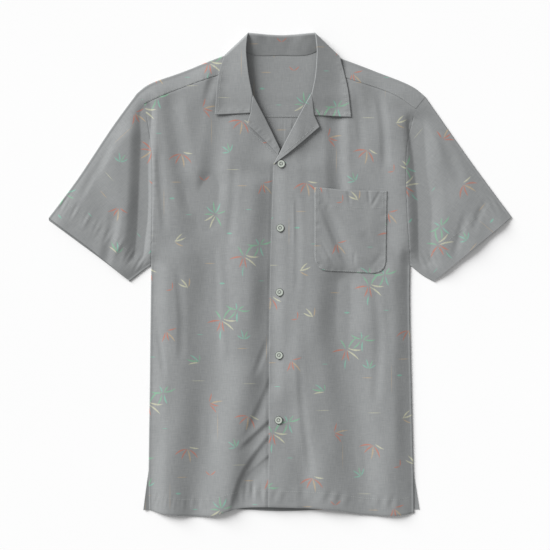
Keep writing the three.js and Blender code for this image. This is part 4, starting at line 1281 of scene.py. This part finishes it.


# The rim's dark tone is partly the resin's own and partly painted shadow of the button's edge on the cloth
button_finishes = [
    resin("polyester resin, dark rim and painted shadow", "#3c403d", "#4d524e", 0.42),
    resin("polyester resin, pale ring", "#a9b0a7", "#c1c7be", 0.38),
    resin("polyester resin, sunk eye", "#5c625d", "#747a74", 0.5),
]


def turned_button():
    """One button at the origin, with its four holes cut through."""
    bm = bmesh.new()
    verts = [bm.verts.new(Vector((radius, 0, height)) * MM) for radius, height in BUTTON_PROFILE]
    edges = [bm.edges.new(pair) for pair in zip(verts, verts[1:])]
    bmesh.ops.spin(bm, geom=verts + edges, cent=(0, 0, 0), axis=(0, 0, 1), angle=2 * np.pi,
                   steps=48, use_merge=True, use_duplicate=False)
    bmesh.ops.remove_doubles(bm, verts=bm.verts, dist=0.01 * MM)
    bmesh.ops.recalc_face_normals(bm, faces=bm.faces)
    blank = placed("button blank", as_mesh("turned button", bm))
    drills = bmesh.new()
    for across in (-1, 1):
        for along in (-1, 1):
            place = Matrix.Translation(Vector((across, along, 0)) * HOLE_PLACE * MM)
            bmesh.ops.create_cone(drills, cap_ends=True, segments=12, radius1=HOLE_RADIUS * MM,
                                  radius2=HOLE_RADIUS * MM, depth=12 * MM, matrix=place)
    drill = placed("drills", as_mesh("drills", drills))
    cut = blank.modifiers.new("holes", "BOOLEAN")
    cut.operation, cut.object, cut.solver = "DIFFERENCE", drill, "EXACT"
    whole = bpy.data.meshes.new_from_object(blank.evaluated_get(bpy.context.evaluated_depsgraph_get()))
    bpy.data.objects.remove(blank)
    bpy.data.objects.remove(drill)
    return whole


button_mesh = turned_button()


def under_button(x, y):
    """Height at which a button rests: drawn a little into the cloth by its thread."""
    ring = np.linspace(0, 2 * np.pi, 24)
    cloth = front_left_top(x + BUTTON_RADIUS * np.cos(ring), y + BUTTON_RADIUS * np.sin(ring))
    return (1 - BUTTON_SINK) * cloth.max() + BUTTON_SINK * cloth.mean()


def sew_button(node, x, y, turn):
    seat = under_button(x, y) + 0.05
    place = Matrix.Translation(Vector((x, y, seat)) * MM) @ Matrix.Rotation(turn, 4, "Z")
    mesh = button_mesh.copy()
    mesh.transform(place)
    mesh.name = f"{node}_resin"
    for finish in button_finishes:
        mesh.materials.append(finish)
    middle = Vector((x, y, seat)) * MM
    for face in mesh.polygons:
        radius = (face.center - middle).xy.length / MM
        high = face.center.z / MM > seat + 0.5
        ring = EYE_FROM < radius < EYE_TO
        # The rim, the sides and the underside take the dark colour, which is partly a painted contact shadow
        face.material_index = 0 if radius > RIM_FROM or not high else 2 if ring else 1
    mesh.shade_smooth()
    button = placed(f"{node}_resin", mesh)
    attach(button, "root")
    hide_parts(node)

    bm = bmesh.new()
    for across in (-1, 1):
        for strand in (-1, 0, 1):
            middle = (across * HOLE_PLACE + EYE_THREAD["pitch"] * strand, 0, EYE_THREAD["height"])
            offset = Matrix.Translation(Vector(middle) * MM)
            size = Matrix.Diagonal((*(Vector(EYE_THREAD["half"]) * MM), 1))
            bmesh.ops.create_uvsphere(bm, u_segments=8, v_segments=6, radius=1, matrix=place @ offset @ size)
    sewn_thread(f"{node}_thread", bm, button_thread)


button_thread = thread_finish("polyester sewing thread, pale", "#b9bcb4")
for index, (node, (x, y)) in enumerate(BUTTON_PLACES.items()):
    sew_button(node, x, y, turn=0.35 * index)


def buttonholes():
    """Worked edges of the buttonholes, which look out at both ends of each button."""
    bm = bmesh.new()
    size = Matrix.Diagonal((*(Vector(BUTTONHOLE["half"]) * MM), 1))
    reach = BUTTONHOLE["length"] / 2
    for x, y in BUTTON_PLACES.values():
        for step in np.arange(-reach, reach, BUTTONHOLE["pitch"]):
            for side in (-1, 1):
                middle = (x + (BUTTONHOLE["slit"] + BUTTONHOLE["bite"] / 2) * side, y + step)
                top = front_left_top(*np.array(middle)[:, None])[0]
                place = Matrix.Translation(Vector((*middle, top)) * MM)
                bmesh.ops.create_uvsphere(bm, u_segments=6, v_segments=4, radius=1, matrix=place @ size)
    sewn_thread("buttonhole_stitches", bm, thread)


buttonholes()

# Setting: a plain pale sheet of paper under soft studio light from the upper left, seen from
# straight above. The lens sees 880 mm across at the shirt.
FIELD = 0.880
LENS, SENSOR = 85, 36
AIM = (-0.0083, -0.0006, 0.005)
SUN_TILT, SUN_TURN, SUN_SPREAD = np.radians((67, -130, 34))
SUN_POWER, SKY_POWER = 5.5, 0.39

paper, paper_surface = new_material("white paper, uncoated", 0.9)
paper_place = add_node(paper, "ShaderNodeTexCoord").outputs["Object"]
paper_fibre = noise(paper, paper_place, Scale=3.0)
paper_tone = between_tones(paper, paper_fibre, linear("#f4f4f4"), linear("#f6f6f6"))
paper.node_tree.links.new(paper_tone, paper_surface.inputs["Base Color"])
paper_surface.inputs["Specular IOR Level"].default_value = 0.1
bm = bmesh.new()
bmesh.ops.create_grid(bm, x_segments=1, y_segments=1, size=4)
surface_sheet = placed("surface", as_mesh("surface", bm))
surface_sheet.data.materials.append(paper)

sun = bpy.data.lights.new("window light", "SUN")
sun.energy = SUN_POWER
sun.angle = SUN_SPREAD
window = placed("window light", sun)
window.rotation_euler = (SUN_TILT, 0, SUN_TURN)
world = bpy.data.worlds.new("studio")
world.use_nodes = True
world.node_tree.nodes["Background"].inputs["Color"].default_value = (1, 1, 1, 1)
world.node_tree.nodes["Background"].inputs["Strength"].default_value = SKY_POWER
bpy.context.scene.world = world
bpy.context.scene.view_settings.view_transform = "Standard"

camera_data = bpy.data.cameras.new("camera")
camera_data.lens = LENS
camera_data.sensor_width = SENSOR
camera_data.clip_end = 20
camera = placed("camera", camera_data)
camera.location = (AIM[0], AIM[1], AIM[2] + FIELD * LENS / SENSOR)
bpy.context.scene.camera = camera
